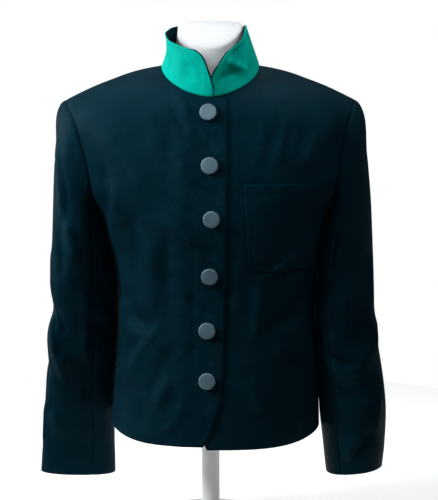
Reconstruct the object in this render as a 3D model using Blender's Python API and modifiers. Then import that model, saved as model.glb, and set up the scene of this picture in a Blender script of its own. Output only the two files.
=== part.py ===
"""Short stand-collar jacket with six covered buttons, worn by a limbless dress form on a low stand.

Heights in the tables are millimetres above the front hem. X runs to the wearer's left, -Y is the front.
"""
import math

import bmesh
import bpy
import numpy as np
from mathutils import Vector
from mathutils.bvhtree import BVHTree

MM = 0.001

# Driving sizes in millimetres
HEM = 152.0
WALL = 1.6
SEAM = 0.5
LAY = 0.5
FRONT_LAY = 0.9
LIFT_START = -62.0
LIFT_SPAN = 22.0
ARMPIT = 339.0
TIP = 519.0
TIP_OUT = 221.0
NECK_HALF = 75.0
NECK_FRONT = 525.0
NECK_POINT = 571.0
NECK_BACK = 575.0
NECK_DEEP = 57.0
NECK_SLOPE = 0.08
NECK_SOFT = 3.0
SHOULDER_Y = 5.0
ROLL_NECK = 84.0
ROLL_TIP = 60.0
SQUARE = 2.35
SLEEVE_SQUARE = 0.92
OVERLAP = 25.0
# Heights of the three panels' hems at their middle, and how much higher they are at the side seams
HEM_OVER = 2.0
HEM_UNDER = -3.0
HEM_BACK = 8.0
HEM_RISE = 18.0
# Cap of a sleeve: how steeply it leaves the armhole, in degrees below level, and how much that swings
CAP_FALL = 50.0
CAP_SWING = 27.0

# Grid of the cloth panels
LOW_ROWS = 9
HIGH_ROWS = 10
NECK_COLUMNS = 7
SHOULDER_COLUMNS = 6
SLEEVE_SIDES = 24
SLEEVE_SEAM = 8
CAP_ROWS = 6
TUBE_ROWS = 12
# How much closer the panels' upper rows stand near the shoulder
ROW_EASE = 1.8


def table(names, *rows):
    """Named columns, one row a section. The first column is what the table is read by."""
    return {name: np.array(values, float) for name, values in zip(names.split(), zip(*rows))}


TORSO = table(
    "height half front back shift",
    (0, 163.5, 110, 108, 6.5),
    (75, 159, 106, 104, 9),
    (136, 154.5, 103, 93, 10.5),
    (196, 152, 102, 84, 11),
    (236, 153, 104, 83, 11),
    (274, 158, 110, 88, 10),
    (317, 167, 117, 95, 7),
    (339, 172, 120, 99, 6),
    (379, 198, 120, 105, 4.5),
    (429, 214, 116, 108, 4),
    (479, 228, 106, 103, 2),
    (525, 238, 94, 88, 0),
    (549, 242, 82, 76, 0),
    (590, 245, 62, 60, 0),
)
SHOULDER = table(
    "out height",
    (0, 582),
    (40, 577),
    (75, 571),
    (92, 568),
    (110, 564),
    (130, 558),
    (150, 550.5),
    (170, 543),
    (185, 536.5),
    (205, 527),
    (221, 519),
)
ARMHOLE = table(
    "height out",
    (339, 172),
    (352, 175.5),
    (372, 181),
    (399, 185.5),
    (431, 191),
    (459, 198),
    (494, 209),
    (519, 221),
)
EDGE_OVER = table(
    "height out",
    (0, -14),
    (5, -9),
    (13, -4.5),
    (35, 5.5),
    (75, 16),
    (113, 19),
    (162, 20.5),
    (230, 22),
    (337, 23.5),
    (430, 25),
    (525, 25),
)
EDGE_UNDER = table(
    "height out",
    (-5, -4),
    (6, -9),
    (20, -14),
    (60, -22),
    (120, -25),
    (525, -25),
)
# Tilt is how much higher the outer side of a ring stands than its middle
SLEEVE_RIGHT = table(
    "height outer inner middle deep turn tilt",
    (-71, 268, 154, 30, 29, 15, 6),
    (19, 262, 154, 27, 32, 15, 0),
    (82, 257, 150, 22, 37, 15, 0),
    (142, 252, 145, 17, 42, 13, 0),
    (205, 247.5, 143.5, 12, 48, 11, 6),
    (262, 243.5, 145.5, 7, 55, 9, 22),
    (320, 239, 153, 4, 61, 6, 44),
    (372, 235, 160, 2, 65, 4, 66),
)
SLEEVE_LEFT = table(
    "height outer inner middle deep turn tilt",
    (-54, 268, 181, -12, 45, 0, 5),
    (-8, 272, 175, -12, 45, 0, 0),
    (40, 273, 170, -13, 45, 0, 0),
    (96, 268, 166.5, -14, 45, -6, 0),
    (142, 261, 164, -14, 46, -8, 0),
    (205, 255.5, 162.5, -12, 49, -12, 6),
    (262, 253, 163.5, -10, 53, -14, 20),
    (320, 249, 170, -7, 58, -12, 42),
    (372, 242, 175, -4, 62, -8, 64),
)
# Around runs in degrees from the centre front past the wearer's right side
COLLAR = table(
    "around rise lean waist set",
    (-2.5, 12, 2, 0, 3.4),
    (0, 25, 2, 0, 3.4),
    (2, 33, 2, 0, 3.4),
    (4, 42, 2, 0, 3.4),
    (6.5, 50, 2, 0, 3.4),
    (9.5, 56.5, 2, -1, 3.4),
    (14, 61, 2, -1, 3.2),
    (22, 63, 2, -1, 2.8),
    (33, 62, 1, -2, 1.6),
    (45, 60, 0, -3, 0.4),
    (57, 56.5, -2, -4, 0),
    (75, 52, -5, -5, 0),
    (90, 50, -6, -5, 0),
    (120, 56, -7, -3, 0),
    (180, 57, -8, -1, 0),
    (240, 58, -14, -1, 0),
    (270, 61, -21, 0, 0),
    (290, 64, -19, 0, 0),
    (305, 64, -14, -1, 0),
    (318, 64.5, -8, -3, 0),
    (330, 63, -4, -4, -0.2),
    (340, 57, -2, -3, -0.6),
    (347, 45, -1, -2, -1.0),
    (353, 35, -1, -1, -1.4),
    (358, 27, -1, 0, -1.6),
    (362.5, 20, -1, 0, -1.6),
)
# Main folds of the front: two ends in X and height, half width, and how far they stand out
FRONT_FOLDS = table(
    "x0 z0 x1 z1 width size",
    (-128, 192, -98, 178, 14, -3.5),
    (-86, 154, -128, 98, 14, 3.0),
    (-92, 298, -90, 224, 18, 2.0),
    (-150, 392, -132, 340, 12, 3.5),
    (-58, 352, -14, 302, 16, 1.5),
    (135, 196, 100, 182, 14, -3.0),
    (92, 158, 132, 104, 14, 2.5),
)
BACK_FOLDS = table(
    "x0 z0 x1 z1 width size",
    (-120, 200, -40, 176, 16, -3.0),
    (122, 190, 46, 172, 16, -3.0),
    (-90, 150, -128, 96, 16, 2.5),
    (94, 146, 126, 90, 16, 2.5),
    (-150, 400, -128, 330, 14, 3.0),
    (152, 396, 130, 326, 14, 3.0),
)
# Sleeve folds are laid in arc length forward of the outer line, and height
SLEEVE_FOLDS = table(
    "x0 z0 x1 z1 width size",
    (10, 196, 70, 150, 16, -4.0),
    (0, 168, 60, 112, 14, 3.0),
    (90, 210, 130, 180, 16, 3.5),
    (100, 176, 140, 150, 14, -3.0),
    (20, 420, 34, 300, 16, 3.0),
    (60, 60, 90, 0, 16, 2.5),
    (-60, 190, -20, 160, 16, -3.0),
    (-80, 240, -100, 60, 18, 2.0),
)
SLEEVE_ARC = 50.0

BUTTON_RADIUS = 12.7
BUTTON_LIFT = 2.2
BUTTON_STEPS = 16
SHANK_RADIUS = 4.5
BUTTONS = ((-3, 502), (-1, 425), (2, 347), (-1, 261), (-5, 178), (-5, 102))

POCKET_TOP = 397.0
POCKET_BOTTOM = 267.0
POCKET_TOP_X = (50.0, 160.0)
POCKET_BOTTOM_X = (58.0, 156.0)
POCKET_WALL = 1.2
POCKET_LAY = 1.2
POCKET_ROWS = 8
POCKET_COLUMNS = 10

COLLAR_WALL = 1.3
FACING_WALL = 1.0
FACING_GAP = 0.3
COLLAR_ROWS = 5
COLLAR_STEP = 11.0

FORM_EASE = 12.0
FORM_EASE_TOP = 4.4
FORM_DROP = 2.2
NECK_DROP = 3.0
NECK_DROP_COLUMNS = 3
FORM_BOTTOM = 34.0
FORM_ARM_GAP = 9.0
NECK_RINGS = table(
    "share half front back",
    (0.03, 65, 63, 50),
    (0.25, 57, 56, 50),
    (0.5, 53, 52, 49),
    (0.75, 51, 50, 48),
    (1.0, 49.5, 49.5, 47),
)
NECK_CUT_FRONT = 597.0
NECK_CUT_RISE = 42.0
NECK_CUT_DEEP = 100.0
NECK_CUT_BEND = 2.5
NECK_CROWN = 1.5

STAND_RADIUS = 120.0
POLE_RADIUS = 14.0
FLANGE_RADIUS = 34.0
STAND_GAP = 0.3
STAND_STEPS = 32

# Colours, linear, and how rough each surface is
NAVY = (0.008, 0.022, 0.032)
GREEN = (0.0, 0.42, 0.33)
SATIN = (0.10, 0.16, 0.19)
SHELL = (0.8, 0.8, 0.8)
PAINT = (0.85, 0.85, 0.84)
CLOTH_ROUGHNESS = 0.7
SATIN_ROUGHNESS = 0.35
SHELL_ROUGHNESS = 0.5
PAINT_ROUGHNESS = 0.4


def value_at(rows, name, at):
    """A column's value, on a smooth curve through the table's rows."""
    keys = next(iter(rows.values()))
    values = rows[name]
    slopes = np.gradient(values, keys)
    at = min(max(at, keys[0]), keys[-1])
    i = min(max(int(np.searchsorted(keys, at)) - 1, 0), len(keys) - 2)
    span = keys[i + 1] - keys[i]
    t = (at - keys[i]) / span
    low = (1 + 2 * t) * (1 - t) ** 2 * values[i] + t * (1 - t) ** 2 * span * slopes[i]
    high = t * t * (3 - 2 * t) * values[i + 1] + t * t * (t - 1) * span * slopes[i + 1]
    return low + high


def smooth(t):
    t = min(max(t, 0.0), 1.0)
    return t * t * (3 - 2 * t)


def relief(folds, x, z):
    """Height of the folds at a place on a panel: soft bars, each along its own line."""
    total = 0.0
    for x0, z0, x1, z1, width, size in zip(*folds.values()):
        along = np.array((x1 - x0, z1 - z0))
        start = np.array((x - x0, z - z0))
        t = min(max(start @ along / (along @ along), 0.0), 1.0)
        away = np.linalg.norm(start - t * along)
        total += size * math.exp(-((away / width) ** 2))
    return total


def seam_y(face, out, ease, q):
    """Depth of the shoulder seam and, at the back, of the neckline inside it, softened further down."""
    if face < 0 or abs(out) >= NECK_HALF - ease:
        return SHOULDER_Y
    return SHOULDER_Y + (NECK_DEEP - ease) * (1 - (out / (NECK_HALF - ease)) ** 2) ** (0.5 + NECK_SOFT * q)


def depth(face, out, height, ease=0.0, drop=0.0):
    """Y of the body at a distance out from its middle line, rolled over at the shoulder."""
    half = value_at(TORSO, "half", height) - ease
    full = value_at(TORSO, "front" if face < 0 else "back", height) - ease
    share = min(abs(out) / half, 1.0)
    full *= (1 - share**SQUARE) ** (1 / SQUARE)
    roll = ROLL_NECK + (ROLL_TIP - ROLL_NECK) * smooth((abs(out) - NECK_HALF) / (TIP_OUT - NECK_HALF))
    q = (value_at(SHOULDER, "height", abs(out)) - drop - height) / roll
    q = min(max(q, 0.0), 1.0)
    start = seam_y(face, out, ease, q)
    return start + (face * full - start) * math.sqrt(1 - (1 - q) ** 2)


def neck_height(face, out):
    if face > 0:
        return NECK_POINT + (NECK_BACK - NECK_POINT) * (1 - min(abs(out) / NECK_HALF, 1.0) ** 2)
    if out < 0:
        return NECK_FRONT + NECK_SLOPE * out
    lift = 1 - math.sqrt(max(1 - (out / NECK_HALF) ** 2, 0.0))
    return NECK_FRONT + (NECK_POINT - NECK_FRONT) * lift**0.8


def body_point(face, side, out, height, ease=0.0, drop=0.0):
    """A point of the body in millimetres, without its folds."""
    x = value_at(TORSO, "shift", height) + side * out
    return np.array((x, depth(face, out, height, ease, drop), height + HEM))


def top_columns(start, tip):
    """Distances out where the columns of a half panel meet the neckline and the shoulder seam."""
    first = math.asin(start / NECK_HALF)
    neck = [first + (math.pi / 2 - first) * i / NECK_COLUMNS for i in range(NECK_COLUMNS)]
    shoulder = np.linspace(NECK_HALF, tip, SHOULDER_COLUMNS + 1)
    return [NECK_HALF * math.sin(a) for a in neck] + list(shoulder)


def half_panel(face, side, edge, hem, ease=0.0, ease_top=0.0, drop=0.0, arm_gap=0.0):
    """Outer points of half a body: rows from the hem up, columns from the middle to the side."""
    tops = top_columns(edge(NECK_FRONT), TIP_OUT - arm_gap)
    last = len(tops) - 1
    grid = []
    for i in range(LOW_ROWS + HIGH_ROWS + 1):
        low = min(i / LOW_ROWS, 1.0)
        high = 1 - (1 - max(i - LOW_ROWS, 0) / HIGH_ROWS) ** ROW_EASE
        slack = ease + (ease_top - ease) * high
        reach_height = ARMPIT + (TIP - ARMPIT) * high
        row = []
        for c, top in enumerate(tops):
            t = c / last
            ceiling = neck_height(face, top) if c < NECK_COLUMNS else value_at(SHOULDER, "height", top)
            fall = drop
            if drop:
                fall += NECK_DROP * min(max(1 - (c - NECK_COLUMNS) / NECK_DROP_COLUMNS, 0.0), 1.0)
            ceiling -= fall
            floor = hem + HEM_RISE * math.sin(t * math.pi / 2) ** 4
            height = floor + (ARMPIT - floor) * low
            if high:
                height = ARMPIT + (ceiling - ARMPIT) * high
            half = value_at(TORSO, "half", height) - slack
            reach = half
            reach_half = half
            if high:
                reach = value_at(ARMHOLE, "out", reach_height) - arm_gap
                reach_half = value_at(TORSO, "half", reach_height) - slack
            inner = edge(height)
            first = math.asin(math.copysign((abs(inner) / half) ** (SQUARE / 2), inner))
            final = math.asin(min(reach / reach_half, 1.0) ** (SQUARE / 2))
            angle = first + (final - first) * t
            place = half * math.copysign(abs(math.sin(angle)) ** (2 / SQUARE), angle)
            edge_place = half * math.copysign(abs(math.sin(first)) ** (2 / SQUARE), first)
            far_place = half * math.sin(final) ** (2 / SQUARE)
            share = (place - edge_place) / (far_place - edge_place)
            share += ((top - tops[0]) / (tops[-1] - tops[0]) - share) * high
            out = inner + (reach - inner) * share
            row.append(body_point(face, side, out, height, slack, fall))
        grid.append(row)
    return np.array(grid)


def unit(vectors):
    return vectors / np.maximum(np.linalg.norm(vectors, axis=-1, keepdims=True), 1e-9)


def normals(grid, wrap=False):
    """Outward normals of a grid of points, away from the upright axis or from a tube's own middle."""
    along = np.gradient(grid, axis=0)
    across = (np.roll(grid, -1, 1) - np.roll(grid, 1, 1)) / 2 if wrap else np.gradient(grid, axis=1)
    found = unit(np.cross(across, along))
    middle = grid.mean(axis=1, keepdims=True) if wrap else np.zeros(3)
    away = (grid - middle) * (1, 1, 0)
    return found * math.copysign(1, float((found * away).sum()))


def squared(found, rows=slice(None), columns=slice(None)):
    """Normals along a seam between front and back, turned square to it."""
    found[rows, columns, 1] = 0
    found[rows, columns] = unit(found[rows, columns])
    return found


def link(name, collection, mesh, colour, roughness):
    thing = bpy.data.objects.new(name, mesh)
    collection.objects.link(thing)
    material = bpy.data.materials.new(name)
    material.use_nodes = True
    shader = material.node_tree.nodes["Principled BSDF"]
    shader.inputs["Base Color"].default_value = (*colour, 1)
    shader.inputs["Roughness"].default_value = roughness
    shader.inputs["Metallic"].default_value = 0
    mesh.materials.append(material)
    return thing


def mesh_from(name, points, faces):
    mesh = bpy.data.meshes.new(name)
    mesh.from_pydata([Vector(p) * MM for p in points], [], faces)
    shape = bmesh.new()
    shape.from_mesh(mesh)
    bmesh.ops.remove_doubles(shape, verts=shape.verts, dist=0.00001)
    bmesh.ops.dissolve_degenerate(shape, edges=shape.edges, dist=0.00001)
    bmesh.ops.recalc_face_normals(shape, faces=shape.faces)
    shape.to_mesh(mesh)
    shape.free()
    mesh.shade_smooth()
    mesh.set_sharp_from_angle(angle=math.radians(50))
    return mesh


def skin(rows, columns, wrap=False, start=0):
    """Triangles of a grid of points numbered row by row, all split along the same diagonal."""
    faces = []
    for i in range(rows - 1):
        for j in range(columns if wrap else columns - 1):
            k = (j + 1) % columns
            a = start + i * columns
            b = a + columns
            faces.append((a + j, a + k, b + k))
            faces.append((a + j, b + k, b + j))
    return faces


def wall(name, outer, inner):
    """Closed mesh between two grids of the same size."""
    rows, columns = outer.shape[:2]
    count = rows * columns
    faces = skin(rows, columns)
    faces += [tuple(reversed(f)) for f in skin(rows, columns, start=count)]
    for i in (0, rows - 1):
        for j in range(columns - 1):
            a = i * columns + j
            faces.append((a, a + 1, a + 1 + count, a + count))
    for j in (0, columns - 1):
        for i in range(rows - 1):
            a = i * columns + j
            b = a + columns
            faces.append((a, b, b + count, a + count))
    points = np.concatenate((outer.reshape(-1, 3), inner.reshape(-1, 3)))
    return mesh_from(name, points, faces)


def pull_in(grid, last_column=False, top_from=None):
    """Moves seam edges back by half the seam's gap."""
    if last_column:
        grid[:, -1] += unit(grid[:, -2] - grid[:, -1]) * SEAM / 2
    if top_from is not None:
        grid[-1, top_from:] += unit(grid[-2, top_from:] - grid[-1, top_from:]) * SEAM / 2
    return grid


def front_grid(side):
    """Outer points and normals of one front. The wearer's right front lies over the left."""
    over = side < 0
    edges = EDGE_OVER if over else EDGE_UNDER

    def edge(height):
        return side * (value_at(edges, "out", height) - value_at(TORSO, "shift", height))

    grid = half_panel(-1, side, edge, HEM_OVER if over else HEM_UNDER)
    found = normals(grid)
    found = squared(found, columns=-1)
    found = squared(found, rows=-1, columns=slice(NECK_COLUMNS, None))
    grid = pull_in(grid, last_column=True, top_from=NECK_COLUMNS)
    for i in range(grid.shape[0]):
        for j in range(grid.shape[1]):
            x, _, z = grid[i, j]
            grid[i, j] += found[i, j] * relief(FRONT_FOLDS, x, z - HEM) * edge_fade(grid, i, j)
            if over:
                lift = (WALL + FRONT_LAY) / max(abs(found[i, j, 1]), 0.5)
                grid[i, j, 1] -= lift * smooth((x - LIFT_START) / LIFT_SPAN)
    return grid, found


def edge_fade(grid, i, j):
    """Folds die out at the side seam, the armhole and the shoulder."""
    from_side = (grid.shape[1] - 1 - j) / 2
    from_top = (grid.shape[0] - 1 - i) / 3
    return smooth(from_side) * smooth(from_top)


def back_grid():
    halves = [half_panel(1, side, lambda height: 0.0, HEM_BACK) for side in (-1, 1)]
    grid = np.concatenate((halves[0][:, :0:-1], halves[1]), axis=1)
    found = normals(grid)
    middle = grid.shape[1] // 2
    shoulder = [j for j in range(grid.shape[1]) if abs(j - middle) >= NECK_COLUMNS]
    found = squared(found, columns=[0, -1])
    found = squared(found, rows=-1, columns=shoulder)
    inward = unit(grid[:, 1] - grid[:, 0]) * SEAM / 2
    grid[:, 0] += inward
    inward = unit(grid[:, -2] - grid[:, -1]) * SEAM / 2
    grid[:, -1] += inward
    grid[-1, shoulder] += unit(grid[-2, shoulder] - grid[-1, shoulder]) * SEAM / 2
    for i in range(grid.shape[0]):
        for j in range(grid.shape[1]):
            x, _, z = grid[i, j]
            fade = smooth((middle - abs(j - middle)) / 2) * smooth((grid.shape[0] - 1 - i) / 3)
            grid[i, j] += found[i, j] * relief(BACK_FOLDS, x, z - HEM) * fade
    return grid, found


def sleeve_ring(rows, side, height, angle):
    """A point of the sleeve's tube. Angle 0 is its outer line and 90 degrees its front."""
    outer = value_at(rows, "outer", height)
    inner = value_at(rows, "inner", height)
    deep = value_at(rows, "deep", height)
    turn = math.radians(value_at(rows, "turn", height))
    reach = (outer - inner) / 2
    wide = math.sqrt(reach**2 - (deep * math.sin(turn)) ** 2) / math.cos(turn)
    x = wide * math.copysign(abs(math.cos(angle)) ** SLEEVE_SQUARE, math.cos(angle))
    y = -deep * math.copysign(abs(math.sin(angle)) ** SLEEVE_SQUARE, math.sin(angle))
    out = (outer + inner) / 2 + x * math.cos(turn) - y * math.sin(turn)
    back = value_at(rows, "middle", height) - x * math.sin(turn) + y * math.cos(turn)
    up = height + value_at(rows, "tilt", height) * math.cos(angle)
    return np.array((side * out, back, up + HEM))


def armhole_point(side, angle):
    """Where the sleeve is set in, going round from the shoulder tip by the front to the armpit."""
    height = ARMPIT + (TIP - ARMPIT) * (1 + math.cos(angle)) / 2
    face = -1 if math.sin(angle) >= 0 else 1
    point = body_point(face, side, value_at(ARMHOLE, "out", height), height)
    point[0] += side * SEAM
    return point


def sleeve_grid(side):
    rows = SLEEVE_RIGHT if side < 0 else SLEEVE_LEFT
    top = rows["height"][-1]
    bottom = rows["height"][0]
    grid = []
    for i in range(TUBE_ROWS):
        height = bottom + (top - bottom) * i / TUBE_ROWS
        grid.append([sleeve_ring(rows, side, height, a) for a in sleeve_angles()])
    for i in range(CAP_ROWS + 1):
        t = 1 - i / CAP_ROWS
        row = []
        for angle in sleeve_angles():
            start = armhole_point(side, angle)
            end = sleeve_ring(rows, side, top, angle)
            chord = np.linalg.norm(end - start)
            fall = math.radians(CAP_FALL - CAP_SWING * math.cos(angle))
            leave = np.array((side * math.cos(fall), 0, -math.sin(fall))) * chord
            arrive = unit(sleeve_ring(rows, side, top - 10, angle) - end) * chord
            low = (1 + 2 * t) * (1 - t) ** 2 * start + t * (1 - t) ** 2 * leave
            high = t * t * (3 - 2 * t) * end + t * t * (t - 1) * arrive
            row.append(low + high)
        grid.append(row)
    grid = np.array(grid)
    found = normals(grid, wrap=True)
    for i in range(grid.shape[0]):
        fade = smooth((grid.shape[0] - 1 - i) / 3)
        for j, angle in enumerate(sleeve_angles()):
            arc = SLEEVE_ARC * math.remainder(angle, 2 * math.pi)
            clear = smooth((1.25 + math.cos(angle)) / 0.9)
            grid[i, j] += found[i, j] * relief(SLEEVE_FOLDS, arc, grid[i, j, 2] - HEM) * fade * clear
    return grid, normals(grid, wrap=True)


def sleeve_piece(grid, found, first, last):
    """Outer and inner points of one of the sleeve's two pieces, between two of the tube's columns."""
    columns = [j % SLEEVE_SIDES for j in range(first, last + 1)]
    piece = grid[:, columns]
    inner = piece - found[:, columns] * WALL
    for edge, near in ((0, 1), (-1, -2)):
        inward = unit(piece[:, near] - piece[:, edge]) * SEAM / 2
        piece[:, edge] += inward
        inner[:, edge] += inward
    return piece, inner


def sleeve_angles():
    return [2 * math.pi * j / SLEEVE_SIDES for j in range(SLEEVE_SIDES)]


def neckline(around, set_out):
    """The seam between body and collar, at an angle from the centre front, straight between columns."""
    face = -1 if math.cos(around) > 0 else 1
    first = math.asin(-OVERLAP / NECK_HALF) if face < 0 else 0.0
    step = (math.pi / 2 - first) / NECK_COLUMNS
    beta = math.asin(abs(math.sin(around)))
    i = min(int((beta - first) / step), NECK_COLUMNS - 1)
    ends = []
    for column in (i, i + 1):
        out = NECK_HALF * math.sin(first + step * column)
        ends.append(body_point(face, 1, out, neck_height(face, out)))
    point = ends[0] + (ends[1] - ends[0]) * ((beta - first) / step - i)
    point[0] *= -math.copysign(1, math.sin(around))
    point[0] -= math.sin(around) * set_out
    point[1] -= math.cos(around) * set_out
    point[2] += SEAM
    return point


def collar_turns():
    """Where the collar's columns stand: at the table's rows, and evenly in its long stretches."""
    ends = COLLAR["around"]
    turns = []
    for start, end in zip(ends[:-1], ends[1:]):
        steps = max(1, round((end - start) / COLLAR_STEP))
        turns += [start + (end - start) * i / steps for i in range(steps)]
    return turns + [ends[-1]]


def collar_grid():
    grid = []
    for i in range(COLLAR_ROWS + 1):
        v = i / COLLAR_ROWS
        row = []
        for turn in collar_turns():
            around = math.radians(turn)
            out = value_at(COLLAR, "lean", turn) * v + value_at(COLLAR, "waist", turn) * 4 * v * (1 - v)
            point = neckline(around, value_at(COLLAR, "set", turn))
            point[0] -= math.sin(around) * out
            point[1] -= math.cos(around) * out
            point[2] += value_at(COLLAR, "rise", turn) * v
            row.append(point)
        grid.append(row)
    grid = np.array(grid)
    return grid, normals(grid)


def surface_of(grid):
    """The skin of a panel, to lay other pieces on."""
    points = [Vector(p) for p in grid.reshape(-1, 3)]
    return BVHTree.FromPolygons(points, skin(*grid.shape[:2]))


def lay_on(surface, x, height):
    """The point of a skin, and its outward normal, straight behind a place seen from the front."""
    point, normal, _, _ = surface.ray_cast(Vector((x, -500, height + HEM)), Vector((0, 1, 0)))
    if normal.y > 0:
        normal = -normal
    return point, normal


def pocket_grid(surface):
    """Points of the patch pocket, taken from the front it lies on."""
    grid = []
    for i in range(POCKET_ROWS + 1):
        v = i / POCKET_ROWS
        height = POCKET_BOTTOM + (POCKET_TOP - POCKET_BOTTOM) * v
        start = POCKET_BOTTOM_X[0] + (POCKET_TOP_X[0] - POCKET_BOTTOM_X[0]) * v
        end = POCKET_BOTTOM_X[1] + (POCKET_TOP_X[1] - POCKET_BOTTOM_X[1]) * v
        row = []
        for j in range(POCKET_COLUMNS + 1):
            x = start + (end - start) * j / POCKET_COLUMNS
            point = body_point(-1, 1, x - value_at(TORSO, "shift", height), height)
            point[1] = min(point[1], lay_on(surface, x, height)[0].y)
            row.append(point)
        grid.append(row)
    grid = np.array(grid)
    found = normals(grid)
    return grid + found * (POCKET_LAY + POCKET_WALL), found


def turned(name, profile):
    """A turned mesh from a profile of radius and height, listed down its outer side."""
    mesh = bpy.data.meshes.new(name)
    points = [(r * MM, 0, z * MM) for r, z in profile]
    mesh.from_pydata(points, [(i, i + 1) for i in range(len(points) - 1)], [])
    return mesh


def add_screw(thing, steps):
    screw = thing.modifiers.new("Screw", "SCREW")
    screw.steps = steps
    screw.render_steps = steps
    screw.use_merge_vertices = True
    screw.merge_threshold = 0.0001
    screw.use_smooth_shade = True


def add_buttons(collection, surface):
    """Domed buttons, each on its shank."""
    r = BUTTON_RADIUS
    shank = LAY - BUTTON_LIFT
    profile = [(0, 4.6), (0.45 * r, 4.5), (0.75 * r, 4.2), (0.92 * r, 3.5), (r, 2.2), (0.95 * r, 0.7), (0.8 * r, 0)]
    profile += [(SHANK_RADIUS, 0), (SHANK_RADIUS, shank), (0, shank)]
    for i, (x, height) in enumerate(BUTTONS):
        point, normal = lay_on(surface, x, height)
        name = f"button_{i + 1}"
        thing = link(name, collection, turned(name, profile), SATIN, SATIN_ROUGHNESS)
        add_screw(thing, BUTTON_STEPS)
        thing.location = (point + normal * BUTTON_LIFT) * MM
        thing.rotation_mode = "QUATERNION"
        thing.rotation_quaternion = normal.to_track_quat("Z", "Y")


def form_mesh():
    """Torso, arm caps and neck of the dress form as one closed skin."""
    sides = []
    for face, side in ((-1, 1), (1, 1), (1, -1), (-1, -1)):
        grid = half_panel(face, side, lambda height: 0.0, FORM_BOTTOM - HEM_RISE, FORM_EASE, FORM_EASE_TOP,
                          FORM_DROP, FORM_ARM_GAP)
        grid[0, :, 2] = FORM_BOTTOM + HEM
        sides.append(grid)
    ring = np.concatenate((sides[0], sides[1][:, ::-1], sides[2], sides[3][:, ::-1]), axis=1)
    width = sides[0].shape[1]
    neck = [list(range(0, NECK_COLUMNS + 1)), list(range(2 * width - 1 - NECK_COLUMNS, 2 * width))]
    neck += [list(range(2 * width, 2 * width + NECK_COLUMNS + 1))]
    neck += [list(range(4 * width - 1 - NECK_COLUMNS, 4 * width))]
    loop = ring[-1][[j for part in neck for j in part]]
    rows, columns = ring.shape[:2]
    points = list(ring.reshape(-1, 3))
    faces = skin(rows, columns, wrap=True)
    base = ring[0].mean(axis=0)
    points.append(base)
    faces += [(j, (j + 1) % columns, len(points) - 1) for j in range(columns)]
    rings = [loop]
    for share, half, front, back in zip(*NECK_RINGS.values()):
        level = []
        for x, y, z in loop:
            turn = math.atan2(x / NECK_HALF, (SHOULDER_Y - y) / (NECK_DEEP + 15))
            px = half * math.sin(turn)
            py = -(front if math.cos(turn) > 0 else back) * math.cos(turn)
            level.append((px, py, z + (neck_cut(py) + HEM - z) * share))
        rings.append(np.array(level))
    centre = rings[-1].mean(axis=0)
    for scale in (0.9, 0.5):
        level = (rings[NECK_RINGS["share"].size] - centre) * (scale, scale, 0) + centre
        level[:, 2] = [neck_cut(y) + HEM + NECK_CROWN for y in level[:, 1]]
        rings.append(level)
    start = len(points)
    points += [p for level in rings for p in level]
    faces += skin(len(rings), len(loop), wrap=True, start=start)
    points.append((centre[0], centre[1], neck_cut(centre[1]) + HEM + NECK_CROWN))
    last = start + (len(rings) - 1) * len(loop)
    faces += [(last + j, last + (j + 1) % len(loop), len(points) - 1) for j in range(len(loop))]
    return mesh_from("dress_form", points, faces)


def neck_cut(y):
    """Height of the form's slanting top, low at the front."""
    share = min(max(0.5 - y / NECK_CUT_DEEP, 0.0), 1.0)
    return NECK_CUT_FRONT + NECK_CUT_RISE * (1 - share**NECK_CUT_BEND)


def add_stand(collection):
    top = FORM_BOTTOM + HEM - STAND_GAP
    profile = [(0, top), (FLANGE_RADIUS - 1, top), (FLANGE_RADIUS, top - 1), (FLANGE_RADIUS, top - 7)]
    profile += [(POLE_RADIUS + 3, top - 9), (POLE_RADIUS, top - 14), (POLE_RADIUS, 44)]
    profile += [(POLE_RADIUS + 3, 30), (POLE_RADIUS + 12, 20), (60, 14), (STAND_RADIUS - 6, 10)]
    profile += [(STAND_RADIUS - 1, 8), (STAND_RADIUS, 6), (STAND_RADIUS, 1), (STAND_RADIUS - 1, 0), (0, 0)]
    thing = link("stand", collection, turned("stand", profile), PAINT, PAINT_ROUGHNESS)
    add_screw(thing, STAND_STEPS)


def main():
    for thing in list(bpy.data.objects):
        bpy.data.objects.remove(thing)
    jacket = bpy.data.collections.new("short_jacket")
    bpy.context.scene.collection.children.link(jacket)
    fronts = {}
    for name, side in (("front_right", -1), ("front_left", 1)):
        grid, found = front_grid(side)
        fronts[name] = surface_of(grid)
        link(name, jacket, wall(name, grid, grid - found * WALL), NAVY, CLOTH_ROUGHNESS)
    grid, found = back_grid()
    link("back", jacket, wall("back", grid, grid - found * WALL), NAVY, CLOTH_ROUGHNESS)
    for name, side in (("sleeve_right", -1), ("sleeve_left", 1)):
        grid, found = sleeve_grid(side)
        top = sleeve_piece(grid, found, -SLEEVE_SEAM, SLEEVE_SEAM)
        under = sleeve_piece(grid, found, SLEEVE_SEAM, SLEEVE_SIDES - SLEEVE_SEAM)
        link(name + "_top", jacket, wall(name + "_top", *top), NAVY, CLOTH_ROUGHNESS)
        link(name + "_under", jacket, wall(name + "_under", *under), NAVY, CLOTH_ROUGHNESS)
    grid, found = collar_grid()
    link("collar", jacket, wall("collar", grid, grid - found * COLLAR_WALL), GREEN, CLOTH_ROUGHNESS)
    facing = grid - found * (COLLAR_WALL + FACING_GAP)
    link("collar_facing", jacket, wall("collar_facing", facing, facing - found * FACING_WALL), NAVY, CLOTH_ROUGHNESS)
    grid, found = pocket_grid(fronts["front_left"])
    link("pocket", jacket, wall("pocket", grid, grid - found * POCKET_WALL), NAVY, CLOTH_ROUGHNESS)
    add_buttons(jacket, fronts["front_right"])
    link("dress_form", jacket, form_mesh(), SHELL, SHELL_ROUGHNESS)
    add_stand(jacket)


main()
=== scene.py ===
"""Visual model of a short stand-collar jacket on a limbless dress form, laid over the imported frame."""
import math

import bmesh
import bpy
import numpy as np
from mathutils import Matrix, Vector
from mathutils.bvhtree import BVHTree


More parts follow.
